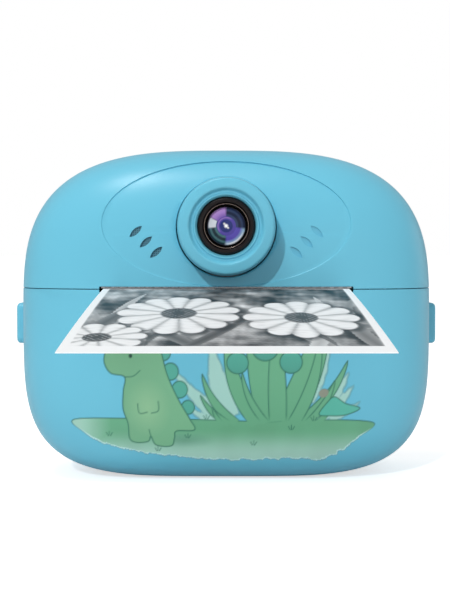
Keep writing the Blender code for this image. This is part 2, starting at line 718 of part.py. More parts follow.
def web_line():
    """From the roll, round the back of the platen, and straight out to the tear bar."""
    roll, platen = Vector((ROLL_Y, ROLL_Z)), Vector((PLATEN_Y, PLATEN_Z))
    roll_reach = ROLL_RADIUS + PAPER_HALF_THICK + HALF_GAP
    platen_reach = PLATEN_RADIUS + PAPER_HALF_THICK + HALF_GAP
    between = platen - roll
    lean = math.acos((roll_reach - platen_reach) / between.length)
    normal_angle = math.atan2(between.y, between.x) - lean
    normal = Vector((math.cos(normal_angle), math.sin(normal_angle)))
    start = math.degrees(normal_angle)
    wrap = arc(platen, platen_reach, start, 90.0, 5)
    return [tuple(roll + normal * roll_reach), *wrap, (TEAR_Y + HALF_GAP, SEAM_Z)]


def print_sag(share):
    """Nearly straight, as it leaves the slot already leaning down, and a little curved."""
    return 0.8 * share + 0.2 * share**2


def print_line():
    """The printed length droops a little under its own weight."""
    steps = 10
    start = TEAR_Y - HALF_GAP
    return [
        (start - PRINT_LENGTH * i / steps, SEAM_Z - PRINT_DROOP * print_sag(i / steps))
        for i in range(steps + 1)
    ]


def make_tear_bar():
    teeth = 29
    pitch = 2 * (SLOT_HALF_WIDTH - 0.5) / teeth
    left = -SLOT_HALF_WIDTH + 0.5
    points = [(left + pitch * (i / 2), TEAR_Y + (0.7 if i % 2 == 0 else 0.0)) for i in range(2 * teeth + 1)]
    outline = points + [(-left, -22.4), (left, -22.4)]
    steel = material("shaft_steel", (0.62, 0.63, 0.65), 0.25, 1.0)
    add_object("tear_bar", prism("Z", outline, SEAM_Z + 0.3, SEAM_Z + 0.6), steel)


def make_hinge_pins():
    steel = material("shaft_steel", (0.62, 0.63, 0.65), 0.25, 1.0)
    for name, x in (("hinge_pin_left", -28.9), ("hinge_pin_right", 16.4)):
        add_object(name, cylinder("X", (x, HINGE_Y, HINGE_Z), 12.5, PIN_RADIUS, 12), steel)


# ---------------------------------------------------------------- release buttons


def make_release_buttons():
    for name, side in (("left", -1), ("right", 1)):
        cap_x = sorted((side * 45.9, side * 52.85))
        cap = prism("X", rounded_rectangle((1.5, 31.6), (8.5, 41.8), 1.6), *cap_x)
        button = add_object(f"release_button_{name}", cap, shell_plastic())
        bevel(button, 0.6, 2)
        flange_x = sorted((side * 45.6, side * 47.1))
        fuse(button, box((flange_x[0], 0.7, 30.4), (flange_x[1], 8.3, 43.0)))
        arm_x = sorted((side * 45.6, side * 46.7))
        fuse(button, box((arm_x[0], -5.0, 34.1), (arm_x[1], 1.4, 39.3)))
        nub = [(side * 46.4, -5.0), (side * 46.6, -5.0), (side * 47.3, -4.4), (side * 47.3, -3.85)]
        nub.append((side * 46.4, -3.85))
        fuse(button, prism("Z", nub, 34.1, 39.3))
        start = min(side * 40.3, side * 45.3)
        make_spring(f"release_spring_{name}", "X", (start, 5.0, 36.7), 5.0, 1.7, 0.22, 4)


# ---------------------------------------------------------------- keys at the back


def key_outlines(grow):
    """Outlines in X and Z of every key at the back, made larger by grow all round."""
    outlines = {}
    for name, middle in (("left", 0), ("up", 90), ("right", 180), ("down", 270)):
        # seen from the back, +X is on the left
        outlines[f"{name}_key"] = ring_sector(5.3 - grow, 10.8 + grow, middle, 38.0, grow)
    outlines["ok_key"] = arc((PAD_X, PAD_Z), 4.0 + grow, 0, 342, 19)
    for name, x in (("menu_key", -19.5), ("print_key", -27.5), ("delete_key", -35.5)):
        outlines[name] = arc((x, FUNCTION_KEY_Z), 2.8 + grow, 0, 337.5, 15)
    return outlines


def ring_sector(inner, outer, middle, half_angle, grow):
    """A quarter of a ring round the middle of the key pad."""
    outer_half = half_angle + math.degrees(grow / outer)
    inner_half = half_angle + math.degrees(grow / inner)
    centre = (PAD_X, PAD_Z)
    outside = arc(centre, outer, middle - outer_half, middle + outer_half, 6)
    inside = arc(centre, inner, middle + inner_half, middle - inner_half, 4)
    return outside + inside


def make_keys():
    white = material("key_plastic", (0.86, 0.88, 0.88), 0.35)
    flanges = key_outlines(0.55)
    for name, outline in key_outlines(0.0).items():
        key = add_object(name, prism("Y", outline, 16.2, BACK_Y + KEY_PROUD), white)
        fuse(key, prism("Y", flanges[name], 16.4, 17.1))


# Top buttons: (x of the middle, radius)
TOP_BUTTONS = {"shutter_button": (-24.0, 5.0), "power_button": (17.0, 3.2)}
TOP_BUTTON_Y = 8.6


def top_z(x):
    return WIDEST_Z + TOP_HEIGHT * (1 - (abs(x) / HALF_WIDTH) ** TOP_POWER) ** (1 / TOP_POWER)


def top_tilt(x):
    """How far the body's top leans at x, in radians, turning +Z towards the surface's normal."""
    step = 0.5
    return -math.atan2(top_z(x + step) - top_z(x - step), 2 * step)


def top_button_cutter(place):
    """The hole for a button and the shallow finger dish round it."""
    x, radius = place
    centre = (x, TOP_BUTTON_Y, top_z(x))
    hole = cylinder("Z", (x, TOP_BUTTON_Y, top_z(x) - 6.0), 12.0, radius + GAP, 24)
    return tilted(hole, centre, top_tilt(x))


def make_top_buttons():
    white = material("key_plastic", (0.86, 0.88, 0.88), 0.35)
    for name, (x, radius) in TOP_BUTTONS.items():
        centre = (x, TOP_BUTTON_Y, top_z(x))
        profile = [(0.02, -4.2), (radius + 0.7, -4.2), (radius + 0.7, -3.3), (radius, -3.3)]
        profile += [(radius, 0.2), (radius - 0.5, 0.6), (0.02, 0.6)]
        cap = solid_turned("Z", centre, profile, 24)
        add_object(name, tilted(cap, centre, top_tilt(x)), white)


# ---------------------------------------------------------------- electronics


def board_green():
    return material("circuit_board", (0.02, 0.18, 0.08), 0.45)


def shell_plastic():
    return material("blue_plastic", (0.155, 0.53, 0.69), 0.36)


def make_display():
    glass = material("display_glass", (0.010, 0.011, 0.013), 0.08)
    outline = rounded_rectangle((-11.2, 24.8), (38.2, 62.2), 2.7)
    window = add_object("display_window", prism("Y", outline, BACK_Y - 0.9, BACK_Y + 0.1), glass)
    bevel(window, 0.25, 1)
    panel = material("display_panel", (0.05, 0.055, 0.06), 0.2)
    add_object("display_panel", box((-10.5, 13.4, 25.0), (38.0, 16.9, 62.0)), panel)


def make_electronics():
    board = add_object("main_board", box((-12.0, 8.6, 16.0), (44.0, 9.8, 58.0)), board_green())
    chips = [box((0.0, 9.7, 30.0), (12.0, 11.2, 42.0)), box((17.0, 9.7, 44.0), (25.0, 10.8, 54.0))]
    fuse(board, merged(*chips))
    keys = add_object("key_board", box((-40.0, 14.0, 22.0), (-13.5, 15.2, 63.9)), board_green())
    bevel(keys, 0.8, 1)
    pack = material("battery_wrap", (0.75, 0.76, 0.78), 0.4)
    battery = add_object("battery", box((-31.5, 2.6, 55.4), (14.0, 8.2, 71.3)), pack)
    bevel(battery, 1.2, 2)
    steel = material("trim_metal", (0.75, 0.72, 0.68), 0.2, 1.0)
    usb = prism("X", rounded_rectangle((10.1, 30.3), (13.1, 38.7), 1.3), 40.4, 47.3)
    add_object("usb_socket", usb, steel)
    cut(bpy.data.objects["usb_socket"], box((42.0, 10.5, 31.2), (50.0, 12.7, 37.8)))
    card = add_object("card_socket", box((33.0, 10.0, 18.2), (46.1, 11.8, 30.0)), steel)
    cut(card, box((34.0, 10.4, 18.9), (50.0, 11.4, 29.3)))
    speaker = [(0.02, -22.0), (3.0, -22.0), (6.0, -21.2), (7.2, -21.2), (7.2, -18.6), (0.02, -18.6)]
    black = material("black_plastic", (0.012, 0.010, 0.011), 0.32)
    add_object("speaker", solid_turned("Y", (-18.6, 0, 58.4), speaker, 28), black)


def rear_bowl(inset):
    """The rear half as a solid, pulled in by inset."""
    bm = bmesh.new()
    bm.faces.new(crown(bm, pillow_rings(1, inset, REAR_DEPTH - inset, REAR_POWER, 8)))
    return bm


def port_block(grow):
    return box((40, 9.6 - grow, 15.5 - grow), (60, 14.6 + grow, 40.5 + grow))


def make_port_cover():
    rubber = material("port_rubber", (0.13, 0.45, 0.60), 0.6)
    flap = add_object("port_cover", port_block(0.0), rubber)
    boolean(flap, rear_bowl(0.0), "INTERSECT")
    cut(flap, rear_bowl(1.1))


def make_screws():
    steel = material("shaft_steel", (0.62, 0.63, 0.65), 0.25, 1.0)
    places = [("upper_left", -1, UPPER_SCREW, -8.0), ("upper_right", 1, UPPER_SCREW, -8.0)]
    places += [("lower_left", -1, LOWER_SCREW, 3.8), ("lower_right", 1, LOWER_SCREW, 3.8)]
    for name, side, (x, z), tip in places:
        head_y = 16.5
        profile = [(0.02, tip), (SCREW_RADIUS * 0.8, tip), (SCREW_RADIUS, tip + 1.0)]
        profile += [(SCREW_RADIUS, head_y), (2.0, head_y), (2.0, head_y + 1.1), (1.5, head_y + 1.5)]
        profile.append((0.02, head_y + 1.5))
        add_object(f"screw_{name}", solid_turned("Y", (side * x, 0, z), profile, 14), steel)


def main():
    clear_scene()
    make_front_cover()
    make_rear_cover()
    make_paper_door()
    make_lens()
    make_chassis()
    make_print_head()
    make_gear_train()
    make_platen()
    make_paper()
    make_tear_bar()
    make_hinge_pins()
    make_release_buttons()
    make_keys()
    make_top_buttons()
    make_display()
    make_electronics()
    make_port_cover()
    make_screws()


main()
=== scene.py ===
import json
import math

import bmesh
import bpy
import numpy as np
from mathutils import Matrix, Vector

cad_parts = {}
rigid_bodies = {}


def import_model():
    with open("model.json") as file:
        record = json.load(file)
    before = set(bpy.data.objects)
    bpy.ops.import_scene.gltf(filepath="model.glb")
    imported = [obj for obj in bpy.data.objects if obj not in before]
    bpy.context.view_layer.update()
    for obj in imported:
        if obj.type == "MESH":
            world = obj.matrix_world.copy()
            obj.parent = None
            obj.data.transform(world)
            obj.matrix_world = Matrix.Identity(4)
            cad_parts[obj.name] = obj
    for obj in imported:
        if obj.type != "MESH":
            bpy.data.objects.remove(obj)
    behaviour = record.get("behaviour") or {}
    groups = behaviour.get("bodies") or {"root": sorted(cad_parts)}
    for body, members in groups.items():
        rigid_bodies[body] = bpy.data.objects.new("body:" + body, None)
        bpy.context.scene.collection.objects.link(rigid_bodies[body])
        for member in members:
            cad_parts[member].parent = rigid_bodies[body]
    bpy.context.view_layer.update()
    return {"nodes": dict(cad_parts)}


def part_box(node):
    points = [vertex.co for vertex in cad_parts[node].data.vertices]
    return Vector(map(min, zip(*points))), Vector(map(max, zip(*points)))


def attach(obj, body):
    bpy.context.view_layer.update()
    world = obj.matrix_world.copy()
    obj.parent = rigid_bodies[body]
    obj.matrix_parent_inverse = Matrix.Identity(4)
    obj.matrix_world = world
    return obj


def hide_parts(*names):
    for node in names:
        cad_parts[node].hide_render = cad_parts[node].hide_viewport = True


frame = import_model()
nodes = frame["nodes"]
print("frame loaded")

mm = 0.001  # shapes are worked in millimetres and scaled once they are done


# modelling helpers

def leaveEditMode():
    if bpy.context.mode != "OBJECT":
        bpy.ops.object.mode_set(mode="OBJECT")


def pick(obj):
    leaveEditMode()
    bpy.ops.object.select_all(action="DESELECT")
    obj.select_set(True)
    bpy.context.view_layer.objects.active = obj


def editAll(obj):
    pick(obj)
    bpy.ops.object.mode_set(mode="EDIT")
    bpy.ops.mesh.select_all(action="SELECT")


def addMesh(name, points, faces, edges=()):
    mesh = bpy.data.meshes.new(name)
    mesh.from_pydata([tuple(p) for p in points], [tuple(e) for e in edges], [tuple(f) for f in faces])
    obj = bpy.data.objects.new(name, mesh)
    bpy.context.scene.collection.objects.link(obj)
    return obj


def outwards(obj, merge=1e-4):
    editAll(obj)
    bpy.ops.mesh.remove_doubles(threshold=merge)
    bpy.ops.mesh.normals_make_consistent(inside=False)
    leaveEditMode()


def applyModifier(obj, kind, **settings):
    pick(obj)
    modifier = obj.modifiers.new(kind.lower(), kind)
    for key, value in settings.items():
        setattr(modifier, key, value)
    bpy.ops.object.modifier_apply(modifier=modifier.name)


def shape(obj, other, operation="DIFFERENCE"):
    # cuts, joins or keeps what two shapes share, and clears the second one away
    applyModifier(obj, "BOOLEAN", object=other, operation=operation, solver="EXACT")
    bpy.data.objects.remove(other)


def joined(parts):
    pick(parts[0])
    for part in parts:
        part.select_set(True)
    bpy.ops.object.join()
    return parts[0]


def roundCorners(corners, steps=4):
    # each corner is (u, v) or (u, v, radius)
    found = []
    for i, corner in enumerate(corners):
        here = Vector(corner[:2])
        if len(corner) < 3 or corner[2] <= 0:
            found.append(tuple(here))
            continue
        before = (Vector(corners[i - 1][:2]) - here).normalized()
        after = (Vector(corners[(i + 1) % len(corners)][:2]) - here).normalized()
        half = before.angle(after) / 2
        middle = here + (before + after).normalized() * (corner[2] / math.sin(half))
        reach = corner[2] / math.tan(half)
        first, last = here + before * reach - middle, here + after * reach - middle
        start = math.atan2(first.y, first.x)
        turn = (math.atan2(last.y, last.x) - start + math.pi) % (2 * math.pi) - math.pi
        for k in range(steps + 1):
            angle = start + turn * k / steps
            found.append((middle.x + corner[2] * math.cos(angle), middle.y + corner[2] * math.sin(angle)))
    return found


def roundedOutline(low, high, radius, steps=6):
    places = ((low[0], low[1]), (high[0], low[1]), (high[0], high[1]), (low[0], high[1]))
    return roundCorners([(*place, radius) for place in places], steps)


def turnPiece(name, profile, centre=(0, 0, 0), axis="Y", steps=96, isOpen=False):
    # profile holds (radius, distance along the axis)
    points = [(radius, along, 0) for radius, along in profile]
    count = len(points)
    edges = [(i, i + 1) for i in range(count - 1)] + ([] if isOpen else [(count - 1, 0)])
    obj = addMesh(name, points, [], edges)
    editAll(obj)
    bpy.ops.mesh.spin(steps=steps, angle=2 * math.pi, center=(0, 0, 0), axis=(0, 1, 0))
    bpy.ops.mesh.select_all(action="SELECT")
    bpy.ops.mesh.remove_doubles(threshold=1e-4)
    bpy.ops.mesh.normals_make_consistent(inside=False)
    leaveEditMode()
    if axis == "X":
        obj.data.transform(Matrix.Rotation(math.radians(-90), 4, "Z"))
    if axis == "Z":
        obj.data.transform(Matrix.Rotation(math.radians(90), 4, "X"))
    obj.data.transform(Matrix.Translation(centre))
    return obj


def plate(name, outline, start, end, axis="Y", rim=0.0, rimSteps=3, bothRims=False):
    # a flat outline pushed out along the axis, with the far rim rounded
    place = {"X": lambda u, v, t: (t, u, v), "Y": lambda u, v, t: (u, t, v), "Z": lambda u, v, t: (u, v, t)}[axis]
    obj = addMesh(name, [place(u, v, start) for u, v in outline], [range(len(outline))])
    editAll(obj)
    bpy.ops.mesh.extrude_region_move(TRANSFORM_OT_translate={"value": place(0, 0, end - start)})
    bpy.ops.mesh.select_all(action="SELECT")
    bpy.ops.mesh.normals_make_consistent(inside=False)
    leaveEditMode()
    if rim:
        index = {"X": 0, "Y": 1, "Z": 2}[axis]
        levels = (start, end) if bothRims else (end,)

        def onRim(a, b):
            return any(abs(a[index] - t) < 1e-4 and abs(b[index] - t) < 1e-4 for t in levels)

        roundEdges(obj, rim, rimSteps, onRim)
    return obj


def roundEdges(obj, width, steps, chosen, sharpest=30):
    # bevels the edges whose two ends pass the test and whose faces meet at an angle
    pick(obj)
    mesh = bmesh.new()
    mesh.from_mesh(obj.data)
    for element in [*mesh.verts, *mesh.faces, *mesh.edges]:
        element.select = False
    for edge in mesh.edges:
        if edge.is_manifold and edge.calc_face_angle(0) > math.radians(sharpest):
            if chosen(edge.verts[0].co, edge.verts[1].co):
                edge.select = True
                edge.verts[0].select = edge.verts[1].select = True
    mesh.to_mesh(obj.data)
    mesh.free()
    bpy.ops.object.mode_set(mode="EDIT")
    bpy.context.tool_settings.mesh_select_mode = (False, True, False)
    bpy.ops.mesh.bevel(offset=width, segments=steps, affect="EDGES", profile=0.5, clamp_overlap=False)
    bpy.context.tool_settings.mesh_select_mode = (True, False, False)
    leaveEditMode()


def finishPiece(obj, finish, body, replaced=(), smooth=35):
    obj.data.transform(Matrix.Scale(mm, 4))
    pick(obj)
    bpy.ops.object.shade_smooth_by_angle(angle=math.radians(smooth))
    obj.data.materials.clear()
    obj.data.materials.append(finish)
    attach(obj, body)
    if replaced:
        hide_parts(*replaced)
    return obj


# materials

def link(tree, source, target):
    tree.links.new(source, target)


def newFinish(name, colour, roughness, metallic=0.0, **sockets):
    made = bpy.data.materials.new(name)
    made.use_nodes = True
    shader = made.node_tree.nodes["Principled BSDF"]
    shader.inputs["Base Color"].default_value = (*colour, 1)
    shader.inputs["Roughness"].default_value = roughness
    shader.inputs["Metallic"].default_value = metallic
    for key, value in sockets.items():
        shader.inputs[key.replace("_", " ")].default_value = value
    return made, made.node_tree, shader


def noiseOf(tree, scale, detail=3.0, stretch=(1, 1, 1), seed=0.0):
    coords = tree.nodes.new("ShaderNodeTexCoord")
    mapping = tree.nodes.new("ShaderNodeMapping")
    mapping.inputs["Scale"].default_value = stretch
    mapping.inputs["Location"].default_value = (seed, seed, seed)
    noise = tree.nodes.new("ShaderNodeTexNoise")
    noise.inputs["Scale"].default_value = scale
    noise.inputs["Detail"].default_value = detail
    link(tree, coords.outputs["Object"], mapping.inputs["Vector"])
    link(tree, mapping.outputs["Vector"], noise.inputs["Vector"])
    return noise.outputs["Fac"]


def ramp(tree, source, stops):
    node = tree.nodes.new("ShaderNodeValToRGB")
    link(tree, source, node.inputs["Fac"])
    elements = node.color_ramp.elements
    while len(elements) < len(stops):
        elements.new(0.5)
    for element, (position, value) in zip(elements, stops):
        element.position = position
        element.color = (*value, 1) if hasattr(value, "__len__") else (value, value, value, 1)
    return node.outputs["Color"]


def addBump(tree, shader, height, strength, distance):
    bump = tree.nodes.new("ShaderNodeBump")
    bump.inputs["Strength"].default_value = strength
    bump.inputs["Distance"].default_value = distance
    link(tree, height, bump.inputs["Height"])
    link(tree, bump.outputs["Normal"], shader.inputs["Normal"])


def shade(colour, factor):
    return tuple(min(1.0, c * factor) for c in colour)


def mouldedPlastic(name, colour, roughness, grain=900.0, bump=0.03, vary=0.03, **sockets):
    made, tree, shader = newFinish(name, colour, roughness, **sockets)
    broad = noiseOf(tree, 40, 2)
    tones = ramp(tree, broad, [(0.3, shade(colour, 1 - vary)), (0.7, shade(colour, 1 + vary))])
    link(tree, tones, shader.inputs["Base Color"])
    fine = noiseOf(tree, grain, 4)
    link(
        tree, ramp(tree, fine, [(0.3, roughness * 0.9), (0.7, min(1, roughness * 1.12))]), shader.inputs["Roughness"]
    )
    addBump(tree, shader, fine, bump, 0.0001)
    return made


def brushedMetal(name, colour, roughness, stretch=(1, 1, 1), scale=600.0):
    made, tree, shader = newFinish(name, colour, roughness, metallic=1.0)
    streaks = noiseOf(tree, scale, 3, stretch)
    tones = ramp(tree, streaks, [(0.3, shade(colour, 0.88)), (0.7, shade(colour, 1.06))])
    link(tree, tones, shader.inputs["Base Color"])
    gloss = ramp(tree, streaks, [(0.3, roughness * 0.75), (0.7, min(1, roughness * 1.35))])
    link(tree, gloss, shader.inputs["Roughness"])
    addBump(tree, shader, streaks, 0.08, 0.0001)
    return made


# the pillow-shaped body

body = {
    "halfWidth": 50.0, "widestZ": 39.5, "topHeight": 40.1, "bottomHeight": 40.2,
    "topPower": 3.1, "bottomPower": 4.0, "frontDepth": 27.0, "frontPower": 3.2,
    "rearDepth": 20.5, "rearPower": 7.0, "backY": 19.4, "wall": 2.0, "halfGap": 0.15,
    "seamZ": 46.0, "seamRound": 0.12, "cornerRun": 2.2,
}


def outlineShare(x, z, inset=0.0):
    upper = z >= body["widestZ"]
    power = np.where(upper, body["topPower"], body["bottomPower"])
    height = np.where(upper, body["topHeight"], body["bottomHeight"]) - inset
    total = (np.abs(x) / (body["halfWidth"] - inset)) ** power + (np.abs(z - body["widestZ"]) / height) ** power
    return np.minimum(total ** (1 / power), 1.0)


def frontSkin(x, z, inset=0.0):
    share = outlineShare(x, z, inset) ** body["frontPower"]
    return -body["halfGap"] - (body["frontDepth"] - inset) * (1 - share) ** (1 / body["frontPower"])


def rearSkin(x, z, inset=0.0):
    share = outlineShare(x, z, inset) ** body["rearPower"]
    reach = (body["rearDepth"] - inset) * (1 - share) ** (1 / body["rearPower"])
    return np.minimum(body["halfGap"] + reach, body["backY"] - inset)


def evenly(points, count, closed=False):
    # evenly spaced points along a line, both ends kept
    points = np.asarray(points, float)
    if closed:
        points = np.concatenate([points, points[:1]])
    run = np.concatenate([[0], np.cumsum(np.linalg.norm(np.diff(points, axis=0), axis=1))])
    at = np.linspace(0, run[-1], count + 1 if closed else count)
    found = np.stack([np.interp(at, run, points[:, k]) for k in range(points.shape[1])], 1)
    return found[:-1] if closed else found


def bodyOutline(inset=0.0):
    angle = np.linspace(0, 2 * math.pi, 8000, endpoint=False)
    c, s = np.cos(angle), np.sin(angle)
    power = np.where(s >= 0, body["topPower"], body["bottomPower"])
    height = np.where(s >= 0, body["topHeight"], body["bottomHeight"]) - inset
    x = (body["halfWidth"] - inset) * np.sign(c) * np.abs(c) ** (2 / power)
    return np.stack([x, body["widestZ"] + height * np.sign(s) * np.abs(s) ** (2 / power)], 1)


def outlinePart(cutZ, above, count, inset=0.0):
    # the outline on one side of a level, from one crossing to the other, turning the same way as the whole
    line = bodyOutline(inset)
    keep = line[:, 1] >= cutZ if above else line[:, 1] <= cutZ
    first = np.flatnonzero(keep & ~np.roll(keep, 1))[0]
    part = np.roll(line, -first, axis=0)[: keep.sum()]
    height, power = body["topHeight"] - inset, body["topPower"]
    x = (body["halfWidth"] - inset) * (1 - ((cutZ - body["widestZ"]) / height) ** power) ** (1 / power)
    side = 1 if above else -1
    return evenly(np.concatenate([[[side * x, cutZ]], part, [[-side * x, cutZ]]]), count)


def borderOf(cutZ, above, alongOutline, alongSeam, inset=0.0):
    # the edge of one half of the front: round the outline, then back along the seam
    over = outlinePart(cutZ, above, alongOutline, inset)
    x = over[-1, 0] * np.sin(np.linspace(1, -1, 4000) * math.pi / 2)
    seam = evenly(np.stack([x, frontSkin(x, np.full(4000, cutZ), inset)], 1), alongSeam + 2)[1:-1, 0]
    return np.concatenate([over, np.stack([seam, np.full(alongSeam, cutZ)], 1)])


def skinPaths(starts, ends, skin, rings, offOutline=None, inset=0.0, backOff=0.0, fine=700):
    # straight in X and Z from each start to each end, lying on the skin, with rounded corners and even steps
    toBorder = 1 - (1 - np.linspace(0, 1, fine)) ** 3.2
    paths = []
    for k, (start, end) in enumerate(zip(starts, ends)):
        flat = start + toBorder[:, None] * (end - start)
        y = skin(flat[:, 0], flat[:, 1], inset)
        if offOutline is None or offOutline[k]:
            y[-1] = math.copysign(body["halfGap"], y[0])
        path = evenly(np.stack([flat[:, 0], y, np.maximum(flat[:, 1], inset)], 1), fine)
        length = np.linalg.norm(np.diff(path, axis=0), axis=1).sum()
        window = int(body["cornerRun"] / 2 / length * fine)
        sums = np.concatenate([np.zeros((1, 3)), np.cumsum(path, axis=0)])
        index = np.arange(fine)
        reach = np.minimum(window, np.minimum(index, fine - 1 - index))
        path = (sums[index + reach + 1] - sums[index - reach]) / (2 * reach + 1)[:, None]
        if backOff and (offOutline is None or offOutline[k]):
            path = path[np.abs(path[:, 1]) >= body["halfGap"] + backOff]
        paths.append(evenly(path, rings))
    return np.stack(paths, 1)  # [ring][spoke]


def roundedBorder(outer, inner, outlineCount, seamUp):
    # rings that turn the outer edge over into the flat face of the seam
    ways = np.zeros_like(outer)
    ways[:outlineCount, 1] = 1
    ways[outlineCount:, 2] = seamUp
    for corner in (0, outlineCount - 1):
        ways[corner, 2] = seamUp
    inwards = (inner - outer) * (ways == 0)
    inwards /= np.linalg.norm(inwards, axis=1)[:, None]
    radius = body["seamRound"]
    return [outer + radius * (math.sin(a) * ways + (1 - math.cos(a)) * inwards) for a in np.radians((30, 60, 90))]


def ringFaces(rings, count, closed=True):
    faces = []
    for ring in range(rings - 1):
        for k in range(count if closed else count - 1):
            a, b = ring * count + k, ring * count + (k + 1) % count
            faces.append((a, b, b + count, a + count))
    return faces


def gridFaces(rows, columns):
    wide = columns + 1
    corners = [r * wide + k for r in range(rows) for k in range(columns)]
    return [(i, i + 1, i + wide + 1, i + wide) for i in corners]


def skinAt(x, z):
    return float(frontSkin(np.array([x]), np.array([z]))[0])


def boxCutter(low, high):
    bpy.ops.mesh.primitive_cube_add(size=1)
    obj = bpy.context.active_object
    size = [high[i] - low[i] for i in range(3)]
    obj.data.transform(Matrix.Translation([(high[i] + low[i]) / 2 for i in range(3)]) @ Matrix.Diagonal((*size, 1)))
    return obj


def sideBox(side, low, high):
    # the same box on the left or the right
    x0, x1 = sorted((side * low[0], side * high[0]))
    return boxCutter((x0, *low[1:]), (x1, *high[1:]))


def rod(start, length, radius, axis="Y", steps=32):
    outline = [
        (radius * math.cos(2 * math.pi * i / steps), radius * math.sin(2 * math.pi * i / steps)) for i in range(steps)
    ]
    middle = {"X": (1, 2), "Y": (0, 2), "Z": (0, 1)}[axis]
    outline = [(start[middle[0]] + u, start[middle[1]] + v) for u, v in outline]
    along = start[{"X": 0, "Y": 1, "Z": 2}[axis]]
    return plate("rod", outline, along, along + length, axis)


def leafOutline(centre, halfLength, halfWidth, angle, steps=10):
    reach = (halfLength**2 - halfWidth**2) / (2 * halfWidth)
    radius = reach + halfWidth
    spread = math.asin(halfLength / radius)
    turn = math.radians(angle)
    found = []
    for flip in (1, -1):
        for i in range(steps):
            a = flip * (math.pi / 2) + (-spread + 2 * spread * i / steps)
            u, v = radius * math.cos(a), radius * math.sin(a) - flip * reach
            x, z = u * math.cos(turn) - v * math.sin(turn), u * math.sin(turn) + v * math.cos(turn)
            found.append((centre[0] + x, centre[1] + z))
    return found


# front cover

frontCover = {
    "spokesOverTop": 210, "spokesAlongSeam": 110, "rings": 44, "innerRings": 12, "gapAboveSeam": 0.09,
    "lensZ": 60.5, "holeRadius": 11.65,
    "ovalZ": 61.4, "ovalHalfX": 29.0, "ovalHalfZ": 14.7, "ovalSink": 0.55, "stepWidth": 0.2,
    "leafHalfLength": 1.9, "leafHalfWidth": 0.68, "leafTurn": 42, "blindDepth": 0.7,
    "blindHalfWidth": 0.7, "leafX": 18.6, "leafZ": 57.0, "leafPitch": 2.4,
    "slotHalfWidth": 29.5, "slotHalfHeight": 0.65,
    "boss": {"x": 36.5, "z": 67.0, "start": -15.4, "length": 15.1, "radius": 2.7},
    "bore": {"start": -9.0, "length": 12.0, "radius": 1.25},
}


def leafPlaces(side):
    p = frontCover
    return [(side * (p["leafX"] + p["leafPitch"] * k), p["leafZ"] + p["leafPitch"] * k) for k in (-1, 0, 1)]


def makeFrontCover(finish):
    p = frontCover
    level = body["seamZ"] + p["gapAboveSeam"]
    overCount, seamCount, wall = p["spokesOverTop"], p["spokesAlongSeam"], body["wall"]
    ends = borderOf(level + body["seamRound"], True, overCount, seamCount)
    innerEnds = borderOf(level, True, overCount, seamCount, wall)
    onOutline = [k < overCount for k in range(len(ends))]
    centre = np.array([0, p["ovalZ"]])
    away = ends - centre
    angle = np.arctan2(away[:, 1], away[:, 0])
    across, up = np.cos(angle), np.sin(angle)
    ovalReach = 1 / np.sqrt((across / p["ovalHalfX"]) ** 2 + (up / p["ovalHalfZ"]) ** 2)
    sink = p["ovalSink"] * np.where(up > -0.1, 0.4 + 0.6 * np.abs(up), 0.15 + 0.5 * up**4 + 0.28 * (1 + up) ** 2)

    def ringAt(x, z, lift):
        return np.stack([x, frontSkin(x, z) + lift, z], 1)

    holeX, holeZ = p["holeRadius"] * across, p["lensZ"] + p["holeRadius"] * up
    rings = []
    for grow, drop in ((0.0, 0.3), (0.05, 0.1), (0.2, 0.0)):
        rings.append(ringAt(holeX + grow * across, holeZ + grow * up, sink + drop))
    stepStart = ovalReach - p["stepWidth"] / 2
    for i in range(1, 11):
        t = i / 11
        x = (holeX + 0.2 * across) * (1 - t) + stepStart * across * t
        z = (holeZ + 0.2 * up) * (1 - t) + (centre[1] + stepStart * up) * t
        rings.append(ringAt(x, z, sink))
    for i in range(7):
        t = i / 6
        reach = ovalReach + (t - 0.5) * p["stepWidth"]
        rings.append(ringAt(reach * across, centre[1] + reach * up, sink * (1 - t * t * (3 - 2 * t))))
    starts = centre + (ovalReach + p["stepWidth"] / 2)[:, None] * np.stack([across, up], 1)
    rings += list(skinPaths(starts, ends, frontSkin, p["rings"], onOutline, backOff=body["seamRound"])[1:])
    innerStarts = np.stack([holeX, holeZ], 1)
    inner = skinPaths(innerStarts, innerEnds, frontSkin, p["innerRings"], onOutline, wall)[::-1]
    rings += roundedBorder(rings[-1], inner[0], overCount, -1) + list(inner)
    count = len(ends)
    faces = ringFaces(len(rings), count)
    last = (len(rings) - 1) * count
    faces += [(last + k, last + (k + 1) % count, (k + 1) % count, k) for k in range(count)]
    obj = addMesh("front_cover_shell", np.concatenate(rings), faces)
    outwards(obj)
    boss, bore = p["boss"], p["bore"]
    for side in (-1, 1):
        shape(obj, rod((side * boss["x"], boss["start"], boss["z"]), boss["length"], boss["radius"]), "UNION")
    cutters = [rod((side * boss["x"], bore["start"], boss["z"]), bore["length"], bore["radius"]) for side in (-1, 1)]
    for place in leafPlaces(-1):
        outline = leafOutline(place, p["leafHalfLength"], p["leafHalfWidth"], p["leafTurn"])
        cutters.append(plate("leaf", outline, -40, -12))
    for x, z in leafPlaces(1):
        outline = leafOutline((x, z), p["leafHalfLength"], p["blindHalfWidth"], -p["leafTurn"])
        cutters.append(plate("leaf", outline, -40, skinAt(x, z) + p["blindDepth"]))
    mouthTop = body["seamZ"] + p["slotHalfHeight"]
    cutters.append(boxCutter((-p["slotHalfWidth"], -38, body["seamZ"] - 3), (p["slotHalfWidth"], -20, mouthTop)))
    shape(obj, joined(cutters))
    return finishPiece(obj, finish, "camera_body", ["front_cover"])


gauze = {"sunk": 1.0, "thick": 0.4, "longer": 0.12, "wider": 0.1}


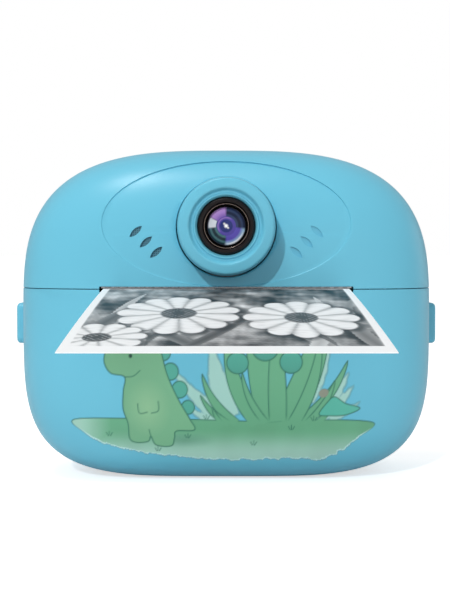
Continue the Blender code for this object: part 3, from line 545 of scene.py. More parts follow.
def makeGauze(finish):
    p = frontCover
    parts = []
    for x, z in leafPlaces(-1):
        depth = skinAt(x, z) + gauze["sunk"]
        halfLength, halfWidth = p["leafHalfLength"] + gauze["longer"], p["leafHalfWidth"] + gauze["wider"]
        outline = leafOutline((x, z), halfLength, halfWidth, p["leafTurn"])
        parts.append(plate("gauze", outline, depth + gauze["thick"], depth))
    obj = joined(parts)
    obj.name = "speaker_gauze"
    return finishPiece(obj, finish, "camera_body")


# paper door with its printed picture

pinGap = 0.15  # round each hinge pin

door = {
    "artLow": (-38.0, 4.4), "artHigh": (38.0, 43.2), "across": 68, "up": 35, "finer": 4,
    "rings": 20, "innerRings": 9, "gapBelowSeam": 0.09, "hingeY": -4.0, "hingeZ": 2.6,
    "barrelRadius": 2.2, "pinRadius": 0.8, "barrelX": 24.0, "lugX": 30.3, "knuckleCorner": 0.35,
    "lugNotch": ((-30.9, -6.8, -5.0), (30.9, 5.0, 5.4)), "rearNotch": ((-40.0, -1.2, -5.0), (40.0, 5.0, 4.2)),
    "knuckleArm": ((-24.0, -7.6, 0.9), (24.0, -5.0, 3.4)), "latchPad": ((47.6, -3.5, 33.0), (48.6, -2.3, 39.4)),
    "stops": {"x": 20.0, "start": -25.0, "z": 39.6, "length": 2.5, "radius": 2.0},
}


def doorSkin(level, ringCount, inset=0.0):
    # a square patch for the picture, and rings from it to the edge of the door
    p = door
    (x0, z0), (x1, z1) = p["artLow"], p["artHigh"]
    gridX, gridZ = np.meshgrid(
        np.linspace(x0 + 1.6 * inset, x1 - 1.6 * inset, p["across"] + 1),
        np.linspace(z0 + 1.6 * inset, z1, p["up"] + 1)
    )
    flat = np.stack([gridX.ravel(), gridZ.ravel()], 1)
    points = np.stack([flat[:, 0], frontSkin(flat[:, 0], flat[:, 1], inset), flat[:, 1]], 1)
    wide = p["across"] + 1
    faces = gridFaces(p["up"], p["across"])
    # round the patch: down its left side, along the bottom, up its right side, back along its top
    rim = [r * wide for r in range(p["up"], 0, -1)] + list(range(wide))
    rim += [r * wide + wide - 1 for r in range(1, p["up"] + 1)]
    outlineCount = len(rim)
    rim += [p["up"] * wide + k for k in range(wide - 2, 0, -1)]
    ends = borderOf(level, False, outlineCount, wide - 2, inset)
    onOutline = [k < outlineCount for k in range(len(rim))]
    outer = skinPaths(flat[rim], ends, frontSkin, ringCount, onOutline, inset, 0.0 if inset else body["seamRound"])
    base, count = len(points), len(rim)
    faces += [(rim[k], rim[(k + 1) % count], base + (k + 1) % count, base + k) for k in range(count)]
    faces += [tuple(base + i for i in face) for face in ringFaces(ringCount - 1, count)]
    return np.concatenate([points, *outer[1:]]), faces, outer[-1], outlineCount


def makeDoor():
    p = door
    level = body["seamZ"] - p["gapBelowSeam"]
    points, faces, edge, outlineCount = doorSkin(level - body["seamRound"], p["rings"])
    innerPoints, innerFaces, innerEdge, outlineCount = doorSkin(level, p["innerRings"], body["wall"])
    count = len(edge)
    rims = [edge] + roundedBorder(edge, innerEdge, outlineCount, 1)
    first = len(points) - count
    faces += [tuple(first + i for i in face) for face in ringFaces(len(rims), count)]
    start = first + len(rims) * count
    faces += [tuple(start + i for i in reversed(face)) for face in innerFaces]
    lastRim, lastInner = start - count, start + len(innerPoints) - count
    faces += [
        (lastRim + k, lastRim + (k + 1) % count, lastInner + (k + 1) % count, lastInner + k) for k in range(count)
    ]
    obj = addMesh("paper_door_shell", np.concatenate([points, *rims[1:], innerPoints]), faces)
    outwards(obj)
    y, z, barrel = p["hingeY"], p["hingeZ"], p["barrelRadius"]
    half = frontCover["slotHalfWidth"]
    shape(obj, boxCutter(*p["lugNotch"]))
    mouthLow = body["seamZ"] - frontCover["slotHalfHeight"]
    shape(obj, joined([boxCutter(*p["rearNotch"]), boxCutter((-half, -40, mouthLow), (half, -20, 60))]))
    shape(obj, boxCutter(*p["knuckleArm"]), "UNION")
    reach, corner = p["barrelX"], p["knuckleCorner"]
    knuckle = roundCorners([(reach, 0), (reach, barrel, corner), (-reach, barrel, corner), (-reach, 0)], 3)
    profile = [(0, reach)] + [(v, u) for u, v in knuckle if v > 1e-6] + [(0, -reach)]
    shape(obj, turnPiece("barrel", profile, (0, y, z), "X", 40, isOpen=True), "UNION")
    shape(obj, joined([rod((x, y, z), 9, p["pinRadius"] + pinGap, "X", 24) for x in (-reach - 1, reach - 8)]))
    stops = p["stops"]
    extras = [
        rod((side * stops["x"], stops["start"], stops["z"]), stops["length"], stops["radius"], "Y", 24)
        for side in (-1, 1)
    ]
    extras += [sideBox(side, *p["latchPad"]) for side in (-1, 1)]
    shape(obj, joined(extras), "UNION")
    return obj


# rear cover

rearCover = {
    "spokes": 260, "rings": 30, "window": ((-11.5, 24.5), (38.5, 62.5), 3.0), "windowDepth": 1.2,
    "opening": ((-8.5, 27.5), (35.5, 59.5), 1.5),
    "screws": ((36.5, 67.0, 0.3, 17.6), (36.0, 12.0, 7.6, 10.6)),  # x, z, start and length of the boss
    "bossRadius": 2.7, "well": [(0, -1), (1.25, -1), (1.25, 16.2), (2.35, 16.2), (2.35, 25), (0, 25)],
    "sill": ((-23.4, -1.5, 0.0), (23.4, 1.5, 1.7)), "lug": ((24.3, -3.0, 0.9), (30.3, 2.0, 4.4)),
    "padX": -27.5, "padZ": 37.0, "keyGap": 0.3, "functionX": (-19.5, -27.5, -35.5), "functionZ": 60.0,
    "release": ((1.2, 31.3), (8.8, 42.1), 1.7),
    # level lines first, then upright ones, each kept to the part of the back between two heights
    "backCuts": ((22.0, "Z", 0, 80), (63.8, "Z", 0, 80), (52.5, "Z", 0, 80), (0.0, "X", 0, 22), (0.0, "X", 63.8, 80),
                 (-14.0, "X", 22, 63.8), (-23.5, "X", 52.5, 63.8), (-31.5, "X", 52.5, 63.8)),
}


ports = {
    "recess": ((9.3, 15.2), (14.9, 40.8), 1.2), "recessDepth": 1.4, "usb": ((10.3, 30.6), (12.9, 38.4), 1.2),
    "card": ((40, 10.4, 18.9), (55, 11.4, 29.3)), "flap": ((9.6, 15.5), (14.6, 40.5), 1.0), "flapDepth": 1.1,
    "nailNotch": ((9.0, 26.0), (10.3, 30.0), 0.4),
}


def rearSolid(inset, count=200, rings=16):
    line = evenly(bodyOutline(), count, closed=True)
    height = np.where(line[:, 1] >= body["widestZ"], body["topHeight"], body["bottomHeight"])
    x = line[:, 0] * (1 - inset / body["halfWidth"])
    z = (line[:, 1] - body["widestZ"]) * (1 - inset / height)
    points = []
    for i in range(rings + 1):
        angle = math.radians(88.5) * i / rings
        shrink = math.cos(angle) ** (2 / body["rearPower"])
        reach = (body["rearDepth"] - inset) * math.sin(angle) ** (2 / body["rearPower"])
        level = np.full(count, body["halfGap"] + reach)
        points.append(np.stack([shrink * x, level, np.maximum(body["widestZ"] + shrink * z, 0)], 1))
    faces = ringFaces(rings + 1, count) + [list(range(count))[::-1], range(rings * count, (rings + 1) * count)]
    obj = addMesh("rear_solid", np.concatenate(points), faces)
    outwards(obj)
    return obj


def arcPoints(centre, radius, first, last, steps):
    angles = [math.radians(first + (last - first) * i / steps) for i in range(steps + 1)]
    return [(centre[0] + radius * math.cos(a), centre[1] + radius * math.sin(a)) for a in angles]


def keyOutlines(grow, corner=0.5):
    # +X is on the left when seen from behind
    pad = (rearCover["padX"], rearCover["padZ"])
    found = {}
    for name, middle in (("left_key", 0), ("up_key", 90), ("right_key", 180), ("down_key", 270)):
        inner, outer = 5.3 - grow, 10.8 + grow
        outerHalf, innerHalf = 38 + math.degrees(grow / outer), 38 + math.degrees(grow / inner)
        sector = arcPoints(pad, outer, middle - outerHalf, middle + outerHalf, 20)
        sector += arcPoints(pad, inner, middle + innerHalf, middle - innerHalf, 12)
        for i in (0, 20, 21, 33):
            sector[i] = (*sector[i], corner)
        found[name] = roundCorners(sector, 4)
    found["ok_key"] = arcPoints(pad, 4.0 + grow, 0, 355, 71)
    for name, x in zip(("menu_key", "print_key", "delete_key"), rearCover["functionX"]):
        found[name] = arcPoints((x, rearCover["functionZ"]), 2.8 + grow, 0, 353, 53)
    return found


topButtons = {"shutter_button": (-24.0, 5.0), "power_button": (17.0, 3.2), "y": 8.6}


def topZ(x):
    power = body["topPower"]
    return body["widestZ"] + body["topHeight"] * (1 - (abs(x) / body["halfWidth"]) ** power) ** (1 / power)


def leanedWithTop(obj, x):
    # turns a piece that stands straight up so that it stands square on the curved top
    lean = -math.atan2(topZ(x + 0.5) - topZ(x - 0.5), 1.0)
    middle = Vector((x, topButtons["y"], topZ(x)))
    obj.data.transform(Matrix.Translation(middle) @ Matrix.Rotation(lean, 4, "Y") @ Matrix.Translation(-middle))
    return obj


def splitBack(obj, where, way, low, high):
    # divides the flat of the back, so that no face there has many holes in it
    mesh = bmesh.new()
    mesh.from_mesh(obj.data)
    flat = [f for f in mesh.faces if f.normal.y**2 > 0.999 and f.calc_area() > 20]
    back = [f for f in flat if low < f.calc_center_median().z < high]
    parts = {*back, *(e for f in back for e in f.edges), *(v for f in back for v in f.verts)}
    point, normal = ((where, 0, 0), (1, 0, 0)) if way == "X" else ((0, 0, where), (0, 0, 1))
    bmesh.ops.bisect_plane(mesh, geom=list(parts), dist=1e-5, plane_co=point, plane_no=normal)
    mesh.to_mesh(obj.data)
    mesh.free()


def makeRearCover(finish):
    p = rearCover
    ends = evenly(bodyOutline(), p["spokes"], closed=True)
    power = body["rearPower"]
    flat = (1 - ((body["backY"] - body["halfGap"]) / body["rearDepth"]) ** power) ** (1 / power) * 0.97
    centre = np.array([0, body["widestZ"]])
    starts = centre + flat * (ends - centre)
    rings = skinPaths(starts, ends, rearSkin, p["rings"])
    count = p["spokes"]
    faces = ringFaces(p["rings"], count) + [list(range(count))]
    obj = addMesh("rear_cover_shell", np.concatenate(rings), faces)
    for where, way, low, high in p["backCuts"]:
        splitBack(obj, where, way, low, high)
    outwards(obj)
    applyModifier(obj, "SOLIDIFY", thickness=body["wall"], offset=-1, use_even_offset=False, use_rim=True)
    roundEdges(obj, body["seamRound"], 2, lambda a, b: a.y < 0.3 and b.y < 0.3 and a.z > 0.1, 55)
    y, z, barrel = door["hingeY"], door["hingeZ"], door["barrelRadius"]
    shape(obj, boxCutter(*p["sill"]), "UNION")
    for side in (-1, 1):
        shape(obj, sideBox(side, *p["lug"]), "UNION")
        x0, x1 = sorted(side * corner[0] for corner in p["lug"])
        shape(obj, rod((x0, y, z), x1 - x0, barrel, "X", 40), "UNION")
        for x, high, start, length in p["screws"]:
            shape(obj, rod((side * x, start, high), length, p["bossRadius"]), "UNION")
    cutters = []
    for side in (-1, 1):
        start = min(side * (door["barrelX"] - 1), side * (door["lugX"] - 1.2))
        cutters.append(rod((start, y, z), 6.1, door["pinRadius"] + pinGap, "X", 24))
        for x, high, *_ in p["screws"]:
            cutters.append(turnPiece("screw_well", p["well"], (side * x, 0, high), "Y", 36, True))
        x0 = min(side * 44.0, side * 54.0)
        cutters.append(plate("release_opening", roundedOutline(*p["release"]), x0, x0 + 10, "X"))
    cutters.append(plate("window", roundedOutline(*p["window"]), body["backY"] - p["windowDepth"], 25))
    cutters += [plate("key_hole", outline, 15, 25) for outline in keyOutlines(p["keyGap"]).values()]
    for name in ("shutter_button", "power_button"):
        x, radius = topButtons[name]
        cutters.append(leanedWithTop(rod((x, topButtons["y"], topZ(x) - 6), 12, radius + 0.3, "Z", 64), x))
    shape(obj, joined(cutters))
    shape(obj, plate("opening", roundedOutline(*p["opening"]), 10, 25))
    recess = plate("port_recess", roundedOutline(*ports["recess"]), 40, 60, "X")
    shape(recess, rearSolid(ports["recessDepth"]))
    shape(obj, recess)
    shape(obj, joined([plate("usb_hole", roundedOutline(*ports["usb"]), 40, 55, "X"), boxCutter(*ports["card"])]))
    back = body["backY"]
    roundEdges(obj, 0.14, 2, lambda a, b: abs(a.y - back) < 0.01 and abs(b.y - back) < 0.01, 50)
    return finishPiece(obj, finish, "camera_body", ["rear_cover"])


# lens

lens = {
    "steps": 128, "centre": (0, 0, 60.5),
    "nose": [(9.2, -21.0), (11.4, -21.0), (11.4, -26.0), (11.25, -30.6), (11.1, -33.0),
             (10.85, -35.6, 0.7), (8.55, -36.0, 0.55), (7.95, -34.95, 0.35), (7.5, -34.95, 0.1), (7.3, -35.3, 0.12),
             (7.05, -35.3, 0.05), (6.6, -34.7), (6.6, -21.0)],
    "bezel": [
        (6.42, -30.0), (6.42, -35.1, 0.25), (6.0, -35.55, 0.25), (5.35, -35.35, 0.15), (5.12, -33.6, 0.1),
        (5.12, -30.0)
    ],
    "trimRing": [(5.06, -33.2), (5.06, -34.9, 0.05), (4.92, -34.9, 0.05), (4.9, -33.2)],
    "window": [(0, -31.6), (4.84, -31.6), (4.84, -32.7, 0.1)],
    "dome": {"radius": 4.5, "edgeY": -32.9, "topY": -34.0, "rings": 30},
    # tints for the reflections painted onto the lens glass; white is used for painted highlights
    "reflectionTints": {
        "pink": "b48fd6", "pinkDark": "6d4fa8", "navy": "15233f", "slate": "3a4c70", "violet": "5c50b4",
        "sky": "a9d4ee", "teal": "0d2c36", "tealRim": "5a8f96", "white": "eef6ff", "core": "2c3a86",
        "black": "030304",
    },
}


def makeLens(shell, black, gold, glass):
    nose = turnPiece("lens_snout", roundCorners(lens["nose"], 8), lens["centre"], "Y", lens["steps"])
    finishPiece(nose, shell, "camera_body", ["lens_nose"], 28)
    bezel = turnPiece("lens_black_ring", roundCorners(lens["bezel"], 6), lens["centre"], "Y", lens["steps"])
    finishPiece(bezel, black, "camera_body", ["lens_bezel"], 28)
    ring = turnPiece("lens_bright_ring", roundCorners(lens["trimRing"], 5), lens["centre"], "Y", lens["steps"])
    finishPiece(ring, gold, "camera_body", ["lens_trim_ring"], 28)
    dome = lens["dome"]
    reaches = [dome["radius"] * (1 - i / dome["rings"]) for i in range(dome["rings"] + 1)]
    crown = [(r, dome["topY"] + (dome["edgeY"] - dome["topY"]) * (r / dome["radius"]) ** 2) for r in reaches]
    profile = roundCorners(lens["window"], 5) + crown
    window = turnPiece("lens_front_glass", profile, lens["centre"], "Y", lens["steps"], isOpen=True)
    finishPiece(window, glass, "camera_body", ["lens_window"], 28)


# buttons and keys

releaseButton = {
    "x": (45.9, 52.849), "cap": ((1.5, 31.6), (8.5, 41.8), 1.6), "rim": 0.9,
    "flange": ((45.6, 0.7, 30.4), (47.1, 8.3, 43.0)), "arm": ((45.6, -5.0, 34.1), (46.7, 1.4, 39.3)),
    "nub": ((46.4, -5.0), (46.6, -5.0), (47.3, -4.4), (47.3, -3.85), (46.4, -3.85)), "nubZ": (34.1, 39.3),
}


def makeReleaseButtons(finish):
    p = releaseButton
    for name, side in (("left", -1), ("right", 1)):
        start, end = (side * x for x in p["x"])
        cap = plate(f"release_cap_{name}", roundedOutline(*p["cap"]), start, end, "X", p["rim"], 5)
        for box in ("flange", "arm"):
            shape(cap, sideBox(side, *p[box]), "UNION")
        nub = plate("nub", [(side * x, y) for x, y in p["nub"]], *p["nubZ"], "Z")
        shape(cap, nub, "UNION")
        finishPiece(cap, finish, f"release_{name}", [f"release_button_{name}"], 32)


keys = {
    "proud": 0.74, "footY": 16.2, "rim": 0.28, "flange": (16.4, 17.1), "flangeWider": 0.55,
    "signLow": -0.1, "signHigh": 0.05, "arrow": ((9.3, 0, 0.15), (7.5, 1.15, 0.15), (7.5, -1.15, 0.15)),
    "tick": (
        (1.7, 0.2, 0.1), (1.25, 0.65, 0.1), (0.35, -0.4, 0.05), (-1.4, 1.6, 0.1), (-1.85, 1.15, 0.1),
        (0.4, -1.35, 0.2)
    ),
    "lines": (-0.85, 0, 0.85),
    "printer": (
        ((-1.45, -0.7), (1.45, 0.45), 0.2), ((-0.9, 0.7), (0.9, 1.35), 0.1), ((-0.9, -1.5), (0.9, -0.95), 0.1)
    ),
}


def signAt(x, z, low, high, radius):
    return roundedOutline((x + low[0], z + low[1]), (x + high[0], z + high[1]), radius, 3)


def makeKeys(white, ink):
    top = body["backY"] + keys["proud"]
    outlines, wider = keyOutlines(0.0), keyOutlines(keys["flangeWider"])
    for name, outline in outlines.items():
        key = plate(f"{name}_cap", outline, keys["footY"], top, "Y", keys["rim"], 4)
        shape(key, plate("flange", wider[name], *keys["flange"]), "UNION")
        finishPiece(key, white, name.replace("_key", "_press"), [name], 32)
    pad = Vector((rearCover["padX"], rearCover["padZ"]))
    marks = {}
    for name, angle in (("left", 0), ("up", 90), ("right", 180), ("down", 270)):
        turn = Matrix.Rotation(math.radians(angle), 2)
        marks[name] = [roundCorners([tuple(pad + turn @ Vector(c[:2])) + (c[2],) for c in keys["arrow"]], 4)]
    marks["ok"] = [roundCorners([(pad.x + u, pad.y + v, r) for u, v, r in keys["tick"]], 3)]
    z, (menuX, printX, deleteX) = rearCover["functionZ"], rearCover["functionX"]
    marks["menu"] = [signAt(menuX, z + d, (-1.35, -0.19), (1.35, 0.19), 0.15) for d in keys["lines"]]
    marks["print"] = [signAt(printX, z, *bar) for bar in keys["printer"]]
    marks["delete"] = []
    for angle in (45, 135):
        turn = Matrix.Rotation(math.radians(angle), 2)
        bar = roundedOutline((-1.55, -0.2), (1.55, 0.2), 0.15, 3)
        marks["delete"].append([tuple(Vector((deleteX, z)) + turn @ Vector(c)) for c in bar])
    for name, outlineList in marks.items():
        bars = [plate("sign", outline, top + keys["signLow"], top + keys["signHigh"]) for outline in outlineList]
        if name == "delete":
            sign = bars[0]
            shape(sign, bars[1], "UNION")
        else:
            sign = joined(bars)
        sign.name = f"{name}_key_sign"
        finishPiece(sign, ink, f"{name}_press")


def makeTopButtons(white, ink):
    for name, bodyName in (("shutter_button", "shutter"), ("power_button", "power")):
        x, radius = topButtons[name]
        profile = [(0, -4.2), (radius + 0.7, -4.2), (radius + 0.7, -3.3), (radius, -3.3), (radius, 0.58, 0.4)]
        profile += [(radius - 0.75, 0.58, 0.3), (radius * 0.5, 0.38), (0, 0.3)]
        cap = turnPiece(f"{name}_cap", roundCorners(profile, 6), (x, topButtons["y"], topZ(x)), "Z", 80, isOpen=True)
        finishPiece(leanedWithTop(cap, x), white, bodyName, [name], 32)
    x, radius = topButtons["power_button"]
    middle = (x, topButtons["y"])
    ring = arcPoints(middle, 1.5, 125, 415, 40) + arcPoints(middle, 1.15, 415, 125, 40)
    low, high = topZ(x) + 0.25, topZ(x) + 0.47
    bar = signAt(*middle, (-0.17, 0.2), (0.17, 1.75), 0.12)
    sign = joined([plate("ring", ring, low, high, "Z"), plate("bar", bar, low, high, "Z")])
    sign.name = "power_button_sign"
    finishPiece(leanedWithTop(sign, x), ink, "power")


def makePortCover(finish):
    flap = plate("port_cover_flap", roundedOutline(*ports["flap"]), 40, 60, "X")
    shape(flap, rearSolid(0.0), "INTERSECT")
    shape(flap, rearSolid(ports["flapDepth"]))
    shape(flap, plate("nail_notch", roundedOutline(*ports["nailNotch"]), 48.9, 60, "X"))
    finishPiece(flap, finish, "port_flap", ["port_cover"], 32)


display = {
    "outline": ((-11.2, 24.8), (38.2, 62.2), 2.7, 8), "sunk": 0.9, "proud": 0.1, "rim": 0.3,
    "working": {"X": (0.0135, 0.0222), "Z": (0.0435, 0.0166)},  # middle and half size in metres
}


def makeDisplay(glass):
    p, back = display, body["backY"]
    outline = roundedOutline(*p["outline"])
    window = plate("display_cover_glass", outline, back - p["sunk"], back + p["proud"], "Y", p["rim"], 4)
    finishPiece(window, glass, "camera_body", ["display_window"], 32)


crossScrew = {
    "tips": {"upper": -8.0, "lower": 3.8}, "crossLong": 1.15, "crossWide": 0.2, "crossFloor": 17.1,
    "head": [(1.1, 16.5), (2.0, 16.5, 0.1), (2.0, 17.5, 0.5), (1.2, 18.0, 0.6), (0, 18.0)],
}


def makeScrews(steel):
    p = crossScrew
    for (row, tip), (x, z, *_) in zip(p["tips"].items(), rearCover["screws"]):
        for name, middleX in ((f"{row}_left", -x), (f"{row}_right", x)):
            profile = [(0, tip), (0.75, tip, 0.2), (1.1, tip + 1)] + p["head"]
            screw = turnPiece(f"cross_screw_{name}", roundCorners(profile, 4), (middleX, 0, z), "Y", 48, isOpen=True)
            for halfX, halfZ in ((p["crossLong"], p["crossWide"]), (p["crossWide"], p["crossLong"])):
                low, high = (middleX - halfX, p["crossFloor"], z - halfZ), (middleX + halfX, 19, z + halfZ)
                shape(screw, boxCutter(low, high))
            finishPiece(screw, steel, "camera_body", [f"screw_{name}"], 32)


# painted pictures

def linear(code):
    # a six-figure colour as linear red, green and blue
    parts = np.array([int(code[i:i + 2], 16) / 255 for i in (0, 2, 4)])
    return np.where(parts <= 0.04045, parts / 12.92, ((parts + 0.055) / 1.055) ** 2.4)


def waves(x, z, size, seed, count=14):
    # soft repeatable unevenness between about -1 and 1
    random = np.random.RandomState(seed)
    total = np.zeros_like(x)
    for _ in range(count):
        angle, stretch, phase = random.uniform(0, 6.283), random.uniform(0.5, 1.8), random.uniform(0, 6.283)
        total += np.sin((x * math.cos(angle) + z * math.sin(angle)) * stretch * 6.283 / size + phase)
    return total / math.sqrt(count)


def newCanvas(x, z):
    return {"x": x, "z": z, "rgb": np.zeros((len(x), 3)), "cover": np.zeros(len(x))}


def lay(canvas, mask, colour):
    mask = np.clip(mask, 0, 1)
    canvas["rgb"] = canvas["rgb"] * (1 - mask[:, None]) + np.asarray(colour) * mask[:, None]
    canvas["cover"] = canvas["cover"] + mask - canvas["cover"] * mask


def filled(distance, edge=0.22):
    return 0.5 - distance / edge


def inked(canvas, distance, colour, line, width=0.12):
    # a filled shape with a drawn line round it
    lay(canvas, filled(distance), colour)
    lay(canvas, filled(np.abs(distance) - width), line)


def between(a, b, c, d, t):
    # a point of the smooth curve that runs from b to c
    return 0.5 * (2 * b + (c - a) * t + (2 * a - 5 * b + 4 * c - d) * t**2 + (3 * b - a - 3 * c + d) * t**3)


def smoothLoop(points, steps=8):
    points = np.asarray(points, float)
    corners = [[points[(i + k) % len(points)] for k in (-1, 0, 1, 2)] for i in range(len(points))]
    return np.array([between(*four, t) for four in corners for t in np.arange(steps) / steps])


def smoothOpen(points, steps=6):
    points = np.asarray(points, float)
    line = np.concatenate([points[:1], points, points[-1:]])
    return np.array(
        [between(*line[i - 1:i + 3], t) for i in range(1, len(line) - 2) for t in np.arange(steps + 1) / steps]
    )


def squaredDistance(px, pz, start, end):
    (ax, az), (bx, bz) = start, end
    ex, ez = bx - ax, bz - az
    t = np.clip(((px - ax) * ex + (pz - az) * ez) / max(ex * ex + ez * ez, 1e-9), 0, 1)
    return (px - ax - t * ex) ** 2 + (pz - az - t * ez) ** 2


farAway = 9.0


def nearTo(x, z, line, margin):
    low, high = line.min(axis=0) - margin, line.max(axis=0) + margin
    return (x > low[0]) & (x < high[0]) & (z > low[1]) & (z < high[1])


def loopDistance(x, z, loop):
    # signed distance to a closed line, negative inside; far points get a large value
    found = np.full(len(x), farAway)
    near = nearTo(x, z, loop, 1)
    px, pz = x[near], z[near]
    best = np.full(len(px), farAway**2)
    inside = np.zeros(len(px), bool)
    for (ax, az), (bx, bz) in zip(loop, np.roll(loop, -1, axis=0)):
        best = np.minimum(best, squaredDistance(px, pz, (ax, az), (bx, bz)))
        if az != bz:
            inside ^= ((az > pz) != (bz > pz)) & (px < (bx - ax) * (pz - az) / (bz - az) + ax)
    found[near] = np.sqrt(best) * np.where(inside, -1, 1)
    return found


def blobDistance(x, z, middle, halfX, halfZ, turn=0.0):
    c, s = math.cos(math.radians(turn)), math.sin(math.radians(turn))
    u, v = (x - middle[0]) * c + (z - middle[1]) * s, (z - middle[1]) * c - (x - middle[0]) * s
    return (np.sqrt((u / halfX) ** 2 + (v / halfZ) ** 2) - 1) * min(halfX, halfZ)


def strokeDistance(x, z, line, halfWidth):
    line = np.asarray(line, float)
    found = np.full(len(x), farAway)
    near = nearTo(x, z, line, 2)
    for start, end in zip(line[:-1], line[1:]):
        here = np.sqrt(squaredDistance(x[near], z[near], start, end)) - halfWidth
        found[near] = np.minimum(found[near], here)
    return found


def bladeLine(base, tip, bend, steps=18):
    base, tip = np.array(base, float), np.array(tip, float)
    middle = (base + tip) / 2 + np.array([-(tip - base)[1], (tip - base)[0]]) * bend
    t = np.linspace(0, 1, steps + 1)[:, None]
    return (1 - t) ** 2 * base + 2 * t * (1 - t) * middle + t**2 * tip


def bladeLoop(base, tip, bend, width):
    line = bladeLine(base, tip, bend)
    along = np.gradient(line, axis=0)
    across = np.stack([-along[:, 1], along[:, 0]], 1) / np.linalg.norm(along, axis=1)[:, None]
    taper = np.sqrt(np.linspace(1, 0, len(line)))[:, None]
    half = width / 2 * taper * (0.75 + 0.25 * np.sin(np.linspace(0, 3.14, len(line))))[:, None]
    return np.concatenate([line + across * half, (line - across * half)[::-1]])


meadow = {
    "inks": {
        "line": "2c6f5b", "green": "72ab85", "deep": "66a883", "light": "8fbf95", "teal": "4fa392", "mint": "a9d2c4",
        "pale": "a3cfc6", "edge": "c9ebea", "brown": "8b8f80"
    },
    "ground": [
        (-35.6, 15.4), (-20, 15.9), (-4, 15.6), (10, 15.2), (22, 15.6), (34.6, 14.6), (31.0, 10.9), (26.5, 7.4),
        (22.0, 5.4), (16.0, 5.9), (4.0, 5.5), (-8.0, 6.1), (-20.0, 7.5), (-28.0, 9.4), (-33.4, 12.2)
    ],
    "creature": [
        (-19.8, 37.6), (-24.2, 35.6), (-27.4, 32.6), (-28.4, 29.4), (-26.9, 26.6), (-23.6, 25.7), (-23.9, 22.4),
        (-24.0, 18.2), (-22.9, 14.6), (-22.6, 11.0), (-21.0, 10.0), (-18.3, 10.3), (-17.6, 11.5), (-16.4, 9.4),
        (-12.9, 9.2), (-12.1, 11.2), (-11.6, 12.9), (-7.4, 13.2), (-8.6, 16.0), (-11.2, 20.6), (-13.6, 26.0),
        (-14.9, 31.0), (-15.9, 35.6)
    ],
    "creatureLines": [
        [(-23.7, 25.7), (-21.6, 25.9), (-20.0, 27.2)], [(-20.6, 19.4), (-20.2, 17.2), (-18.4, 17.4)],
        [(-15.8, 20.0), (-15.8, 17.8), (-17.4, 17.2)], [(-17.6, 11.4), (-18.0, 13.2)]
    ],
    "bumps": [((-14.6, 31.4), 1.7), ((-12.9, 27.0), 1.8), ((-10.8, 22.8), 1.8), ((-8.9, 18.6), 1.5)],
    "faintBlades": [
        ((0, 16), (-12.4, 27.8), 0.12, 4.2), ((-1, 15.4), (-8.2, 21.8), 0.1, 3.4),
        ((-2, 15), (-9.4, 18.9), 0.08, 2.6), ((1, 16), (-3.4, 33.5), 0.08, 6.5),
        ((21, 16), (28.4, 26.6), -0.05, 4.4), ((22, 16), (29.6, 23.6), -0.08, 3.6),
        ((24, 15.6), (31.2, 19.8), -0.08, 2.6), ((19, 20), (24, 33), -0.05, 4.0)
    ],
    "blades": [
        ((2.4, 14.8), (-5.6, 26.4), 0.2, 2.6), ((0.6, 14.6), (-6.0, 21.4), 0.16, 2.0),
        ((-0.8, 14.4), (-3.2, 18.6), 0.14, 1.3), ((17.6, 15.6), (28.2, 29.4), -0.16, 2.8),
        ((18.6, 14.4), (25.2, 24.8), -0.14, 2.2), ((20.6, 14.2), (25.0, 19.9), -0.12, 1.7),
        ((10.6, 15.2), (5.6, 44.0), 0.02, 8.4), ((13.4, 15.0), (23.6, 44.5), -0.1, 8.0),
        ((7.4, 14.8), (0.2, 36.0), 0.18, 4.6), ((12.0, 15.2), (11.4, 40.0), 0.0, 5.2),
        ((15.6, 14.8), (21.8, 36.0), -0.14, 3.6), ((9.2, 15.0), (3.6, 27.0), 0.16, 2.0)
    ],
    "fruits": [((2.6, 29.0), 2.5), ((15.0, 29.2), 2.6), ((9.0, 32.6), 3.1), ((-1.2, 35.6), 2.6), ((20.8, 36.6), 2.5)],
    "sideLeaf": [(21.6, 16.9), (23.4, 19.6), (25.2, 21.0), (27.8, 19.4), (31.2, 18.2), (28.0, 16.7), (24.2, 16.5)],
    "tufts": [(-27.4, 11.6), (-9.0, 11.2), (-4.6, 15.8), (15.2, 13.2), (20.4, 15.4), (-16.0, 7.9), (6.4, 9.4)],
}


